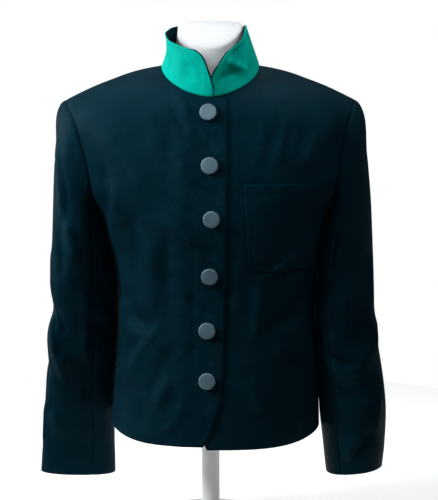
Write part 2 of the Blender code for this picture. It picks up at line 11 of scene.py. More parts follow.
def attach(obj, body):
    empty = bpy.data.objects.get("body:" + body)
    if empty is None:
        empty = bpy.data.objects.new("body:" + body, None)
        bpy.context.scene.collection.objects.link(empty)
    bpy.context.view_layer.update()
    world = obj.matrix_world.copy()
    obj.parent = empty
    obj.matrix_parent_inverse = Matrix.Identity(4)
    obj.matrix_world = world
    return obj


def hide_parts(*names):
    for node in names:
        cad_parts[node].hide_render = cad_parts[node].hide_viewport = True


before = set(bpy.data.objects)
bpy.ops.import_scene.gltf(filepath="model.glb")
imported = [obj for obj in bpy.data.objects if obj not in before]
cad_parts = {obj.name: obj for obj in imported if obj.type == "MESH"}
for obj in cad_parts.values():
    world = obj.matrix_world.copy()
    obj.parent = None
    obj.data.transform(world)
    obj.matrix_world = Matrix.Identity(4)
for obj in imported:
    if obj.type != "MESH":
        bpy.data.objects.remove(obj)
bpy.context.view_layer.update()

MM = 0.001

# Driving sizes in millimetres, the same as in the solids
HEM = 152.0
WALL = 1.6
SEAM = 0.5
FRONT_LAY = 0.9
LIFT_START = -62.0
LIFT_SPAN = 22.0
ARMPIT = 339.0
TIP = 519.0
TIP_OUT = 221.0
NECK_HALF = 75.0
NECK_FRONT = 525.0
NECK_POINT = 571.0
NECK_BACK = 575.0
NECK_DEEP = 57.0
NECK_SOFT = 3.0
SHOULDER_Y = 5.0
ROLL_NECK = 84.0
ROLL_TIP = 60.0
SQUARE = 2.35
HEM_RISE = 18.0
HEM_OVER = 2.0
HEM_UNDER = -3.0
HEM_BACK = 8.0

# What only the cloth has: how strong its creases are, how its sleeve caps fall in degrees, and in
# millimetres its unevenness, its fades and dips at seams, and the height and width of what is turned in
CREASE_GAIN = 1.7
CAP_FALL = 77.0
CAP_SWING = 24.0
CAP_SWING_LEFT = 19.0
WAVER = 0.5
SIDE_FADE = 40.0
TOP_FADE = 24.0
SIDE_DIP = 0.25
EDGE_TURN = 12.0
EDGE_HEIGHT = 0.35
HEM_TURN = 34.0
CUFF_TURN = 36.0
PUCKERS = 23
PUCKER_HEIGHT = 0.3
PUCKER_DROP = 9.0
PRESS_ANGLE = 30.0
PRESS_CALM = 0.8
EDGE_ROUND = 0.42

# Points in the fine grids: the body's rows below and above the armpit, and its columns at neck and shoulder
NECK_COLUMNS = 34
BODY_GRID = (104, 72, NECK_COLUMNS, 44)
SLEEVE_SIDES = 96
SLEEVE_SEAM = 32
CAP_ROWS = 44
TUBE_ROWS = 138


def table(names, *rows):
    """Named columns, one row a section. The first column is what the table is read by."""
    return {name: np.array(values, float) for name, values in zip(names.split(), zip(*rows))}


TORSO = table(
    "height half front back shift",
    (0, 163.5, 110, 108, 6.5),
    (75, 159, 106, 104, 9),
    (136, 154.5, 103, 93, 10.5),
    (196, 152, 102, 84, 11),
    (236, 153, 104, 83, 11),
    (274, 158, 110, 88, 10),
    (317, 167, 117, 95, 7),
    (339, 172, 120, 99, 6),
    (379, 198, 120, 105, 4.5),
    (429, 214, 116, 108, 4),
    (479, 228, 106, 103, 2),
    (525, 238, 94, 88, 0),
    (549, 242, 82, 76, 0),
    (590, 245, 62, 60, 0),
)
SHOULDER = table(
    "out height",
    (0, 582),
    (40, 577),
    (75, 571),
    (92, 568),
    (110, 564),
    (130, 558),
    (150, 550.5),
    (170, 543),
    (185, 536.5),
    (205, 527),
    (221, 519),
)
ARMHOLE = table(
    "height out",
    (339, 172),
    (352, 175.5),
    (372, 181),
    (399, 185.5),
    (431, 191),
    (459, 198),
    (494, 209),
    (519, 221),
)
EDGE_OVER = table(
    "height out",
    (0, -14),
    (5, -9),
    (13, -4.5),
    (35, 5.5),
    (75, 16),
    (113, 19),
    (162, 20.5),
    (230, 22),
    (337, 23.5),
    (430, 25),
    (525, 25),
)
EDGE_UNDER = table(
    "height out",
    (-5, -4),
    (6, -9),
    (20, -14),
    (60, -22),
    (120, -25),
    (525, -25),
)
SLEEVE_RIGHT = table(
    "height outer inner middle deep turn tilt",
    (-71, 268, 154, 30, 29, 15, 6),
    (19, 262, 154, 27, 32, 15, 0),
    (82, 257, 150, 22, 37, 15, 0),
    (142, 252, 145, 17, 42, 13, 0),
    (205, 247.5, 143.5, 12, 48, 11, 6),
    (262, 243.5, 145.5, 7, 55, 9, 22),
    (320, 239, 153, 4, 61, 6, 44),
    (372, 235, 160, 2, 65, 4, 66),
)
SLEEVE_LEFT = table(
    "height outer inner middle deep turn tilt",
    (-54, 268, 181, -12, 45, 0, 5),
    (-8, 272, 175, -12, 45, 0, 0),
    (40, 273, 170, -13, 45, 0, 0),
    (96, 268, 166.5, -14, 45, -6, 0),
    (142, 261, 164, -14, 46, -8, 0),
    (205, 255.5, 162.5, -12, 49, -12, 6),
    (262, 253, 163.5, -10, 53, -14, 20),
    (320, 249, 170, -7, 58, -12, 42),
    (372, 242, 175, -4, 62, -8, 64),
)
# How far each sleeve's inner side swells against the body, in the cloth only
PRESS_LEFT = table(
    "height press",
    (0, 0.0),
    (50, 0.5),
    (90, 0.8),
    (230, 1.6),
    (265, 2.85),
    (288, 3.6),
    (310, 3.6),
    (335, 2.9),
    (352, 1.0),
    (380, 0.0),
)
PRESS_RIGHT = table(
    "height press",
    (0, 0.0),
    (60, 0.8),
    (220, 1.2),
    (250, 1.8),
    (310, 1.8),
    (340, 0.8),
    (380, 0.0),
)
# The last rows follow the curve of the collar's wing more closely than in the solids
COLLAR = table(
    "around rise lean waist set",
    (-2.5, 12, 2, 0, 3.4),
    (0, 25, 2, 0, 3.4),
    (2, 33, 2, 0, 3.4),
    (4, 42, 2, 0, 3.4),
    (6.5, 50, 2, 0, 3.4),
    (9.5, 56.5, 2, -1, 3.4),
    (14, 61, 2, -1, 3.2),
    (22, 63, 2, -1, 2.8),
    (33, 62, 1, -2, 1.6),
    (45, 60, 0, -3, 0.4),
    (57, 56.5, -2, -4, 0),
    (75, 52, -5, -5, 0),
    (90, 50, -6, -5, 0),
    (120, 56, -7, -3, 0),
    (180, 57, -8, -1, 0),
    (240, 58, -14, -1, 0),
    (270, 61, -21, 0, 0),
    (290, 64, -19, 0, 0),
    (305, 64, -14, -1, 0),
    (318, 64.5, -8, -3, 0),
    (328, 64, -4, -4, -0.2),
    (335, 61.5, -3, -3, -0.4),
    (340.5, 58, -2, -3, -0.6),
    (345, 50.8, -1, -2, -0.9),
    (350, 42.8, -1, -1, -1.2),
    (354, 36.3, -1, -1, -1.4),
    (357.5, 29, -1, 0, -1.6),
    (362.5, 18, -1, 0, -1.6),
)
# Main folds, as in the solids: two ends, half width, and how far they stand out
FRONT_FOLDS = table(
    "x0 z0 x1 z1 width size",
    (-128, 192, -98, 178, 14, -3.5),
    (-86, 154, -128, 98, 14, 3.0),
    (-92, 298, -90, 224, 18, 2.0),
    (-150, 392, -132, 340, 12, 3.5),
    (-58, 352, -14, 302, 16, 1.5),
    (135, 196, 100, 182, 14, -3.0),
    (92, 158, 132, 104, 14, 2.5),
)
BACK_FOLDS = table(
    "x0 z0 x1 z1 width size",
    (-120, 200, -40, 176, 16, -3.0),
    (122, 190, 46, 172, 16, -3.0),
    (-90, 150, -128, 96, 16, 2.5),
    (94, 146, 126, 90, 16, 2.5),
    (-150, 400, -128, 330, 14, 3.0),
    (152, 396, 130, 326, 14, 3.0),
)
SLEEVE_FOLDS = table(
    "x0 z0 x1 z1 width size",
    (10, 196, 70, 150, 16, -4.0),
    (0, 168, 60, 112, 14, 3.0),
    (90, 210, 130, 180, 16, 3.5),
    (100, 176, 140, 150, 14, -3.0),
    (20, 420, 34, 300, 16, 3.0),
    (60, 60, 90, 0, 16, 2.5),
    (-60, 190, -20, 160, 16, -3.0),
    (-80, 240, -100, 60, 18, 2.0),
)
SLEEVE_ARC = 50.0

# Creases that only the cloth has: two ends, sideways bow, half width at each end, and size
CREASE = "x0 z0 x1 z1 bow wide0 wide1 size"
FRONT_CREASES = table(
    CREASE,
    (-182, 486, -90, 362, 12, 20, 17, 3.2),
    (-168, 430, -152, 336, 4, 8, 10, -4.6),
    (-146, 396, -134, 286, -4, 9, 11, 2.6),
    (-120, 362, -106, 250, 2, 12, 10, -3.2),
    (-94, 318, -84, 196, 4, 13, 12, 2.2),
    (-66, 330, -60, 226, -2, 10, 11, -1.2),
    (-132, 244, -94, 168, -6, 12, 10, -3.4),
    (-144, 222, -128, 150, 2, 9, 9, 2.0),
    (-74, 190, -128, 92, -7, 9, 8, 2.8),
    (-92, 168, -140, 118, -4, 7, 6, -2.4),
    (-52, 156, -96, 66, -4, 9, 10, -1.5),
    (-60, 112, -88, 50, 3, 9, 11, 1.8),
    (-40, 70, -72, 16, 2, 10, 9, 1.6),
    (-100, 74, -112, 20, 2, 9, 10, -1.3),
    (-78, 352, -8, 300, -4, 8, 6, 1.8),
    (-60, 378, -6, 342, -3, 8, 5, -1.4),
    (-70, 546, -26, 494, 5, 8, 6, 1.7),
    (-56, 518, -30, 462, -2, 7, 6, -1.4),
    (-98, 520, -72, 440, 4, 12, 12, 1.0),
    (-30, 480, 12, 446, -3, 7, 6, -2.0),
    (-34, 402, 16, 366, 3, 8, 6, -1.5),
    (-34, 320, 12, 280, 3, 8, 6, -1.6),
    (-38, 238, 8, 194, -3, 9, 6, -1.8),
    (-38, 158, 6, 118, 3, 9, 6, -1.7),
    (-32, 86, 0, 50, 3, 9, 6, -1.3),
    (-25, 402, -27, 58, 1, 3, 3, -0.5),
    (84, 502, 66, 424, 2, 10, 8, 0.8),
    (110, 498, 93, 412, 4, 7, 8, 1.2),
    (133, 482, 120, 430, -2, 5, 8, 0.7),
    (156, 486, 138, 416, 3, 9, 7, 1.1),
    (198, 502, 116, 418, 8, 20, 16, 2.4),
    (128, 296, 66, 252, 6, 8, 6, 2.6),
    (138, 274, 80, 234, 4, 8, 7, -2.0),
    (74, 262, 64, 152, 3, 9, 8, 2.2),
    (102, 246, 90, 160, 3, 10, 9, -2.0),
    (144, 232, 102, 174, 5, 12, 11, -3.2),
    (92, 162, 140, 100, 5, 9, 8, 2.4),
    (54, 108, 84, 42, 2, 11, 11, 1.6),
    (46, 310, 38, 192, 2, 11, 11, 1.3),
    (48, 410, 94, 405, 1, 4, 3, 0.9),
    (116, 66, 138, 20, 3, 9, 9, 1.4),
)
BACK_CREASES = table(
    CREASE,
    (-62, 522, -34, 436, 6, 15, 13, 1.2),
    (60, 518, 38, 430, -5, 14, 14, 1.1),
    (-156, 474, -106, 376, 8, 12, 11, 1.8),
    (152, 478, 110, 366, -8, 13, 10, 1.6),
    (-108, 226, -18, 192, -6, 9, 8, -1.8),
    (14, 200, 102, 220, -5, 9, 9, -1.5),
    (-82, 184, -8, 166, 3, 8, 7, 1.1),
    (18, 172, 80, 182, 3, 7, 8, 1.0),
    (-38, 124, -62, 28, 0, 13, 15, 1.4),
    (50, 112, 64, 22, 0, 14, 14, 1.2),
    (-120, 330, -88, 268, 4, 10, 10, 1.2),
    (124, 322, 96, 258, -4, 10, 11, 1.3),
    (0, 562, 3, 498, 0, 11, 12, 0.7),
    (-14, 320, -10, 240, 2, 14, 12, 0.8),
)
CREASES_RIGHT = table(
    CREASE,
    (22, 474, 56, 332, 5, 8, 9, 3.2),
    (34, 440, 66, 330, 5, 8, 8, -2.0),
    (58, 346, 76, 266, 3, 8, 7, 2.8),
    (38, 338, 56, 240, 3, 9, 8, -2.6),
    (14, 300, 24, 214, 3, 9, 9, 1.8),
    (16, 196, 50, 112, 4, 7, 6, 3.0),
    (34, 206, 66, 150, 4, 8, 6, -2.4),
    (48, 124, 66, 80, 2, 7, 6, 2.4),
    (4, 220, 42, 160, 4, 8, 7, -2.2),
    (-4, 132, 34, 78, 3, 8, 8, -2.0),
    (84, 134, 97, 42, 2, 8, 9, -3.2),
    (86, 250, 88, 40, 3, 7, 7, 2.2),
    (42, 40, 62, -12, 2, 11, 11, 2.3),
    (16, 54, 26, -30, 2, 9, 10, 1.6),
    (104, 312, 116, 200, 2, 9, 8, -2.0),
    (-52, 208, -16, 146, 4, 9, 8, -2.8),
    (-76, 178, -24, 120, 4, 8, 7, 2.2),
    (-60, 436, -38, 312, 4, 12, 11, 2.4),
    (-96, 336, -82, 234, -3, 10, 9, 1.8),
    (-40, 100, -66, 26, 3, 9, 10, 1.9),
)
CREASES_LEFT = table(
    CREASE,
    (108, 122, 58, 86, 4, 8, 6, 4.0),
    (116, 148, 66, 110, 4, 8, 6, -3.4),
    (100, 90, 54, 58, 3, 7, 6, -2.4),
    (68, 10, 94, -38, 4, 7, 6, 3.4),
    (52, 14, 78, -32, 4, 7, 6, -2.4),
    (14, 310, 20, 112, 3, 9, 10, 2.2),
    (28, 440, 50, 320, 4, 8, 9, 2.4),
    (58, 262, 76, 160, 4, 9, 8, 2.2),
    (84, 342, 93, 240, 3, 8, 7, -2.2),
    (30, 72, 46, 4, 3, 9, 9, 1.9),
    (26, 214, 58, 156, 4, 9, 7, -2.0),
    (-50, 194, -14, 144, 4, 9, 7, -2.7),
    (-72, 162, -24, 112, 4, 8, 8, 2.3),
    (-58, 430, -38, 324, 4, 11, 12, 2.1),
    (-92, 324, -78, 220, -3, 9, 10, 1.9),
    (-44, 88, -62, 18, 3, 9, 9, 1.8),
)
# Along the collar in millimetres from the centre front, towards the wearer's right side, and up
COLLAR_CREASES = table(
    CREASE,
    (31, 14, 33, 46, 0, 9, 9, -1.6),
    (76, 4, 79, 34, 0, 8, 7, -1.5),
    (54, 6, 46, 54, 0, 9, 10, 1.0),
    (-6, 20, -64, 18, -3, 10, 8, -5.0),
    (-20, 58, -72, 12, 2, 6, 6, 3.4),
    (-44, 62, -54, 34, 0, 8, 6, -2.6),
    (-82, 58, -74, 14, 0, 8, 8, 1.6),
    (112, 40, 150, 12, 3, 8, 8, 0.9),
    (-120, 44, -160, 14, 3, 8, 8, -0.9),
)
COLLAR_ARC = 1.31

BUTTON_RADIUS = 12.7
BUTTON_LIFT = 2.2
SHANK_RADIUS = 4.5
BUTTONS = ((-3, 502), (-1, 425), (2, 347), (-1, 261), (-5, 178), (-5, 102))

POCKET_TOP = 397.0
POCKET_BOTTOM = 267.0
POCKET_TOP_X = (50.0, 160.0)
POCKET_BOTTOM_X = (58.0, 156.0)
POCKET_WALL = 1.2
POCKET_LAY = 0.5
POCKET_CORNER = 9.0
POCKET_FULL = 0.9
POCKET_TURN = 14.0
POCKET_STITCH = 2.4
POCKET_HEM_STITCH = 13.5
STITCH_PITCH = 3.1
STITCH_LENGTH = 2.2
STITCH_RADIUS = 0.26

# The facing stands past the collar by these at its top, at its wings, at its front ends and below
COLLAR_WALL = 1.3
FACING_WALL = 1.0
FACING_GAP = 0.3
FACING_TOP = 0.3
FACING_WING = 1.5
FACING_END = 1.6
FACING_FOOT = 3.5

FORM_EASE = 12.0
FORM_EASE_TOP = 4.4
FORM_DROP = 2.2
NECK_DROP = 3.0
FORM_BOTTOM = 34.0
FORM_ARM_GAP = 9.0
NECK_RINGS = table(
    "share half front back",
    (0.03, 65, 63, 50),
    (0.25, 57, 56, 50),
    (0.5, 53, 52, 49),
    (0.75, 51, 50, 48),
    (1.0, 49.5, 49.5, 47),
)
NECK_CUT_FRONT = 597.0
NECK_CUT_RISE = 42.0
NECK_EDGE = 2.0

STAND_RADIUS = 120.0
POLE_RADIUS = 14.0
FLANGE_RADIUS = 34.0
STAND_GAP = 0.3

# Camera and floor, in metres except the pitch in degrees and the lens and sensor in millimetres
CAMERA_PLACE = (0.013, -2.4, 0.731)
CAMERA_PITCH = 6.945
CAMERA_LENS = 74.872
CAMERA_SENSOR = 24.0
FLOOR_HALF = (0.75, 0.72)
FLOOR_MIDDLE = 0.5
FLOOR_GLOW = 0.5
SKY_STRENGTH = 0.06

# Name, place, target, size in metres, power in watts, colour, and spread in degrees
LIGHTS = (
    ("key", (-1.5, -0.62, 1.35), (-0.12, -0.05, 0.58), (0.6, 0.6), 7.8, (0.97, 0.99, 1.0), 80),
    ("fill", (0.1, -1.6, 1.85), (0, 0, 0.5), (1.0, 0.7), 1.5, (1.0, 1.0, 1.0), 180),
    ("front", (0.1, -1.25, 1.5), (0.0, -0.1, 0.68), (0.35, 0.25), 0.14, (1.0, 1.0, 1.0), 44),
    ("side", (-1.6, 0.7, 0.9), (0, 0, 0.5), (0.7, 1.2), 9, (0.95, 0.99, 1.0), 180),
    ("right", (1.0, -0.75, 1.75), (0.05, 0, 0.72), (0.4, 0.4), 0.9, (0.97, 1.0, 1.0), 60),
    ("top", (0, 0.4, 2.3), (0, 0, 0.5), (1.2, 0.8), 14, (1.0, 1.0, 1.0), 180),
)


def hermite(t, start, leave, end, arrive, span=1.0):
    """A smooth curve from one value to the next, with a given slope at each."""
    low = (1 + 2 * t) * (1 - t) ** 2 * start + t * (1 - t) ** 2 * span * leave
    high = t * t * (3 - 2 * t) * end + t * t * (t - 1) * span * arrive
    return low + high


def value_at(rows, name, at):
    """A column's value, on a smooth curve through the table's rows."""
    keys = next(iter(rows.values()))
    values = rows[name]
    slopes = np.gradient(values, keys)
    at = np.clip(at, keys[0], keys[-1])
    i = np.clip(np.searchsorted(keys, at) - 1, 0, len(keys) - 2)
    span = keys[i + 1] - keys[i]
    return hermite((at - keys[i]) / span, values[i], slopes[i], values[i + 1], slopes[i + 1], span)


def smooth(t):
    t = np.clip(t, 0.0, 1.0)
    return t * t * (3 - 2 * t)


def relief(folds, x, z):
    """Height of the main folds at places on a panel: soft bars, each along its own line."""
    total = np.zeros(np.shape(x))
    for x0, z0, x1, z1, width, size in zip(*folds.values()):
        length = math.hypot(x1 - x0, z1 - z0)
        ux, uz = (x1 - x0) / length, (z1 - z0) / length
        t = np.clip(((x - x0) * ux + (z - z0) * uz) / length, 0, 1)
        away = np.hypot(x - x0 - t * ux * length, z - z0 - t * uz * length)
        total = total + size * np.exp(-((away / width) ** 2))
    return total


def creased(creases, x, z):
    """Height of the fine creases: troughs and ridges that bow sideways and run out at both ends."""
    total = np.zeros(np.shape(x))
    for x0, z0, x1, z1, bow, wide0, wide1, size in zip(*creases.values()):
        length = math.hypot(x1 - x0, z1 - z0)
        ux, uz = (x1 - x0) / length, (z1 - z0) / length
        t = ((x - x0) * ux + (z - z0) * uz) / length
        inside = np.clip(t, 0, 1)
        away = (z - z0) * ux - (x - x0) * uz - bow * 4 * inside * (1 - inside)
        width = wide0 + (wide1 - wide0) * inside
        ends = smooth(t / 0.3) * smooth((1 - t) / 0.3)
        total = total + CREASE_GAIN * size * ends * np.exp(-((away / width) ** 2))
    return total


def waver(x, z, size, phase=0.0):
    """A slight unevenness of hanging cloth, in millimetres."""
    a = np.sin(x / 23.0 + 1.7 * np.sin(z / 61.0 + phase) + phase)
    b = np.sin(z / 37.0 + 1.3 * np.sin(x / 43.0 + 2 * phase))
    c = np.sin(x / 11.0 - z / 29.0 + 1.1 * np.sin(z / 47.0) + 3 * phase)
    return size * (0.5 * a * b + 0.22 * c)


def seam_y(face, out, ease, q):
    """Depth of the shoulder seam and, at the back, of the neckline inside it, softened further down."""
    if face < 0:
        return np.full(np.shape(out), SHOULDER_Y)
    share = np.clip(np.abs(out) / (NECK_HALF - ease), 0, 1)
    return SHOULDER_Y + (NECK_DEEP - ease) * (1 - share**2) ** (0.5 + NECK_SOFT * q)


def depth(face, out, height, ease=0.0, drop=0.0):
    """Y of the body at a distance out from its middle line, rolled over at the shoulder."""
    half = value_at(TORSO, "half", height) - ease
    full = value_at(TORSO, "front" if face < 0 else "back", height) - ease
    share = np.minimum(np.abs(out) / half, 1.0)
    full = full * (1 - share**SQUARE) ** (1 / SQUARE)
    roll = ROLL_NECK + (ROLL_TIP - ROLL_NECK) * smooth((np.abs(out) - NECK_HALF) / (TIP_OUT - NECK_HALF))
    q = np.clip((value_at(SHOULDER, "height", np.abs(out)) - drop - height) / roll, 0, 1)
    start = seam_y(face, out, ease, q)
    return start + (face * full - start) * np.sqrt(1 - (1 - q) ** 2)


def neck_height(face, out):
    out = np.asarray(out, float)
    share = np.clip(np.abs(out) / NECK_HALF, 0, 1)
    if face > 0:
        return NECK_POINT + (NECK_BACK - NECK_POINT) * (1 - share**2)
    lift = (1 - np.sqrt(1 - share**2)) ** 0.8
    return np.where(out < 0, NECK_FRONT + 0.08 * out, NECK_FRONT + (NECK_POINT - NECK_FRONT) * lift)


def body_point(face, side, out, height, ease=0.0, drop=0.0):
    """Points of the body in millimetres, without its folds."""
    x = value_at(TORSO, "shift", height) + side * out
    y = depth(face, out, height, ease, drop)
    return np.stack(np.broadcast_arrays(x, y, height + HEM), axis=-1)


def top_columns(start, tip, neck, shoulder):
    """Distances out where the columns of a half panel meet the neckline and the shoulder seam."""
    first = math.asin(start / NECK_HALF)
    turns = first + (math.pi / 2 - first) * np.arange(neck) / neck
    return np.concatenate((NECK_HALF * np.sin(turns), np.linspace(NECK_HALF, tip, shoulder + 1)))


def power(values, exponent):
    return np.copysign(np.abs(values) ** exponent, values)


def half_panel(face, side, edge, hem, size, ease=0.0, ease_top=0.0, drop=0.0, arm_gap=0.0):
    """Outer points of half a body: rows from the hem up, columns from the middle to the side."""
    low_rows, high_rows, neck, shoulder = size
    tops = top_columns(float(edge(NECK_FRONT)), TIP_OUT - arm_gap, neck, shoulder)
    columns = np.arange(len(tops))
    t = columns / columns[-1]
    rows = np.arange(low_rows + high_rows + 1)[:, None]
    low = np.minimum(rows / low_rows, 1.0)
    high = 1 - (1 - np.maximum(rows - low_rows, 0) / high_rows) ** 1.8
    slack = ease + (ease_top - ease) * high
    reach_height = ARMPIT + (TIP - ARMPIT) * high
    at_neck = neck_height(face, tops)
    ceiling = np.where(columns < neck, at_neck, value_at(SHOULDER, "height", tops))
    fall = drop + (NECK_DROP * np.clip(1 - (tops - NECK_HALF) / 75, 0, 1) if drop else 0 * tops)
    ceiling = ceiling - fall
    floor = hem + HEM_RISE * np.sin(t * math.pi / 2) ** 4
    height = np.where(high > 0, ARMPIT + (ceiling - ARMPIT) * high, floor + (ARMPIT - floor) * low)
    half = value_at(TORSO, "half", height) - slack
    open_arm = high > 0
    reach = np.where(open_arm, value_at(ARMHOLE, "out", reach_height) - arm_gap, half)
    reach_half = np.where(open_arm, value_at(TORSO, "half", reach_height) - slack, half)
    inner = edge(height)
    first = np.arcsin(power(inner / half, SQUARE / 2))
    final = np.arcsin(np.minimum(reach / reach_half, 1.0) ** (SQUARE / 2))
    place = half * power(np.sin(first + (final - first) * t), 2 / SQUARE)
    edge_place = half * power(np.sin(first), 2 / SQUARE)
    far_place = half * power(np.sin(final), 2 / SQUARE)
    share = (place - edge_place) / (far_place - edge_place)
    share = share + ((tops - tops[0]) / (tops[-1] - tops[0]) - share) * high
    return body_point(face, side, inner + (reach - inner) * share, height, slack, fall)


def unit(vectors):
    return vectors / np.maximum(np.linalg.norm(vectors, axis=-1, keepdims=True), 1e-9)


def normals(grid, wrap=False):
    """Outward normals of a grid of points, away from the upright axis or from a tube's own middle."""
    along = np.gradient(grid, axis=0)
    across = (np.roll(grid, -1, 1) - np.roll(grid, 1, 1)) / 2 if wrap else np.gradient(grid, axis=1)
    found = unit(np.cross(across, along))
    middle = grid.mean(axis=1, keepdims=True) if wrap else np.zeros(3)
    away = (grid - middle) * (1, 1, 0)
    return found * math.copysign(1, float((found * away).sum()))


def arcs(grid, axis):
    """Distances in millimetres along a grid's rows or columns, from their start and from their end."""
    steps = np.linalg.norm(np.diff(grid, axis=axis), axis=-1)
    zero = np.zeros_like(np.take(steps, [0], axis=axis))
    run = np.concatenate((zero, np.cumsum(steps, axis=axis)), axis=axis)
    return run, np.take(run, [-1], axis=axis) - run


def shut(distance, deep=0.7, wide=2.4):
    """How far a panel dips where it is sewn to the next, at a distance from its seam."""
    return -deep * np.exp(-((distance / wide) ** 2))


def ridge(distance, turn, high=0.25, soft=5.0):
    """How far cloth stands out where it is turned in, up to a distance from its edge."""
    return high * smooth((turn - distance) / soft)


def material(name, colour, roughness):
    made = bpy.data.materials.new(name)
    made.use_nodes = True
    shader = made.node_tree.nodes["Principled BSDF"]
    shader.inputs["Base Color"].default_value = (*colour, 1)
    shader.inputs["Roughness"].default_value = roughness
    return made, made.node_tree.nodes, made.node_tree.links, shader


def put(made, **values):
    """Sets a shader node's inputs, or else its properties."""
    for key, value in values.items():
        if key in made.inputs:
            made.inputs[key].default_value = value
        else:
            setattr(made, key, value)
    return made


def node(nodes, kind, **values):
    return put(nodes.new(kind), **values)


def with_share(nodes, links, base, share, extra):
    """One value, and a share of another added to it."""
    made = node(nodes, "ShaderNodeMath", operation="MULTIPLY_ADD")
    made.inputs[1].default_value = share
    links.new(extra, made.inputs[0])
    links.new(base, made.inputs[2])
    return made.outputs[0]


def bump_of(nodes, links, height, strength, distance):
    made = node(nodes, "ShaderNodeBump", Strength=strength, Distance=distance)
    links.new(height, made.inputs["Height"])
    return made


def colour_by(nodes, links, value, shader, *stops):
    """Colours the shader by a value, between two stops, each a place and a colour."""
    ramp = nodes.new("ShaderNodeValToRGB")
    for element, (place, colour) in zip(ramp.color_ramp.elements, stops):
        element.position = place
        element.color = (*colour, 1)
    links.new(value, ramp.inputs["Fac"])
    links.new(ramp.outputs["Color"], shader.inputs["Base Color"])


def cloth(name, dark, light, roughness, sheen, tint, pitch, bump, specular, gleam=(1, 1, 1), mottle=14.0, slub=0.0):
    """Woven cloth: twill lines and yarn in the bump, a soft unevenness in the colour and the sheen."""
    made, nodes, links, shader = material(name, dark, roughness)
    place = nodes.new("ShaderNodeTexCoord")
    twill = node(nodes, "ShaderNodeTexWave", bands_direction="DIAGONAL", Scale=2 * math.pi / (10 * pitch))
    put(twill, Distortion=0.6, **{"Detail Scale": 2.0})
    weft = node(nodes, "ShaderNodeTexWave", bands_direction="X", Scale=2 * math.pi / (20 * pitch * 0.7))
    yarn = node(nodes, "ShaderNodeTexNoise", Scale=1 / (pitch * 2.2), Detail=3.0, Roughness=0.7)
    cloud = node(nodes, "ShaderNodeTexNoise", Scale=mottle, Detail=4.0, Roughness=0.55)
    for texture in (twill, weft, yarn):
        links.new(place.outputs["UV"], texture.inputs["Vector"])
    links.new(place.outputs["Object"], cloud.inputs["Vector"])
    lines = with_share(nodes, links, twill.outputs["Fac"], 0.45, weft.outputs["Fac"])
    surface = with_share(nodes, links, lines, 0.9, yarn.outputs["Fac"])
    raised = bump_of(nodes, links, surface, bump, pitch * 0.3)
    if slub:
        soft = node(nodes, "ShaderNodeTexNoise", Scale=34.0, Detail=3.0, Roughness=0.55, Distortion=0.4)
        links.new(place.outputs["Object"], soft.inputs["Vector"])
        uneven = bump_of(nodes, links, soft.outputs["Fac"], 1.0, slub)
        links.new(uneven.outputs["Normal"], raised.inputs["Normal"])
    links.new(raised.outputs["Normal"], shader.inputs["Normal"])
    blend = with_share(nodes, links, cloud.outputs["Fac"], 0.35, yarn.outputs["Fac"])
    colour_by(nodes, links, blend, shader, (0.42, dark), (0.92, light))
    gloss = node(nodes, "ShaderNodeMapRange", **{"From Min": 0.3, "From Max": 0.7})
    put(gloss, **{"To Min": roughness - 0.06, "To Max": roughness + 0.06})
    links.new(cloud.outputs["Fac"], gloss.inputs["Value"])
    links.new(gloss.outputs["Result"], shader.inputs["Roughness"])
    put(shader, **{"Specular IOR Level": specular, "Specular Tint": (*gleam, 1)})
    put(shader, **{"Sheen Weight": sheen, "Sheen Roughness": 0.45, "Sheen Tint": (*tint, 1)})
    return made


def coated(name, colour, shade, roughness, grain, bump):
    """Matt plastic or paint, with a fine grain and faint marks of handling."""
    made, nodes, links, shader = material(name, colour, roughness)
    place = nodes.new("ShaderNodeTexCoord")
    fine = node(nodes, "ShaderNodeTexNoise", Scale=grain, Detail=3.0)
    broad = node(nodes, "ShaderNodeTexNoise", Scale=9.0, Detail=5.0)
    for texture in (fine, broad):
        links.new(place.outputs["Object"], texture.inputs["Vector"])
    raised = bump_of(nodes, links, fine.outputs["Fac"], bump, 0.0003)
    links.new(raised.outputs["Normal"], shader.inputs["Normal"])
    colour_by(nodes, links, broad.outputs["Fac"], shader, (0.35, shade), (0.6, colour))
    return made


NAVY = cloth("navy_twill", (0.0003, 0.0088, 0.0165), (0.0008, 0.0160, 0.0275), 0.6, 0.009, (0.2, 0.8, 1.0), 0.0009,
             0.35, 0.11, (0.08, 0.72, 1.0), 14.0, 0.0022)
LINING = cloth("navy_lining", (0.001, 0.005, 0.014), (0.002, 0.009, 0.022), 0.34, 0.0, (1, 1, 1), 0.0004, 0.1, 0.3)
GREEN = cloth("green_wool", (0.0, 0.40, 0.31), (0.0, 0.48, 0.385), 0.7, 0.0, (0.5, 1.0, 0.9), 0.0008, 0.3,
              0.06, (0.1, 1.0, 0.9), 22.0, 0.0012)
# The button covers' base colour is a light slate, far lighter than their own dark navy: it is painted sheen, standing
# in for part of the light the satin catches, on top of the shader's real specular and sheen
SATIN_PAINTED_SHEEN = cloth("button_satin_painted_sheen", (0.08, 0.15, 0.19), (0.12, 0.20, 0.25), 0.4, 0.05, (0.8, 0.95, 1.0), 0.0006, 0.3,
              0.75, (0.8, 0.95, 1.0), 60.0)
THREAD = cloth("navy_thread", (0.002, 0.014, 0.022), (0.004, 0.022, 0.032), 0.5, 0.02, (0.5, 0.8, 1.0), 0.0003, 0.4,
               0.2, (0.3, 0.8, 1.0))
FORM = coated("form_shell", (0.72, 0.745, 0.76), (0.68, 0.71, 0.725), 0.55, 260.0, 0.12)
PAINT = coated("white_paint", (0.86, 0.86, 0.85), (0.82, 0.82, 0.81), 0.35, 500.0, 0.1)


def link(name, data, slots=()):
    """A new object in the scene: a mesh with its materials, a light or the camera."""
    thing = bpy.data.objects.new(name, data)
    bpy.context.scene.collection.objects.link(thing)
    for slot in slots:
        data.materials.append(slot)
    return thing


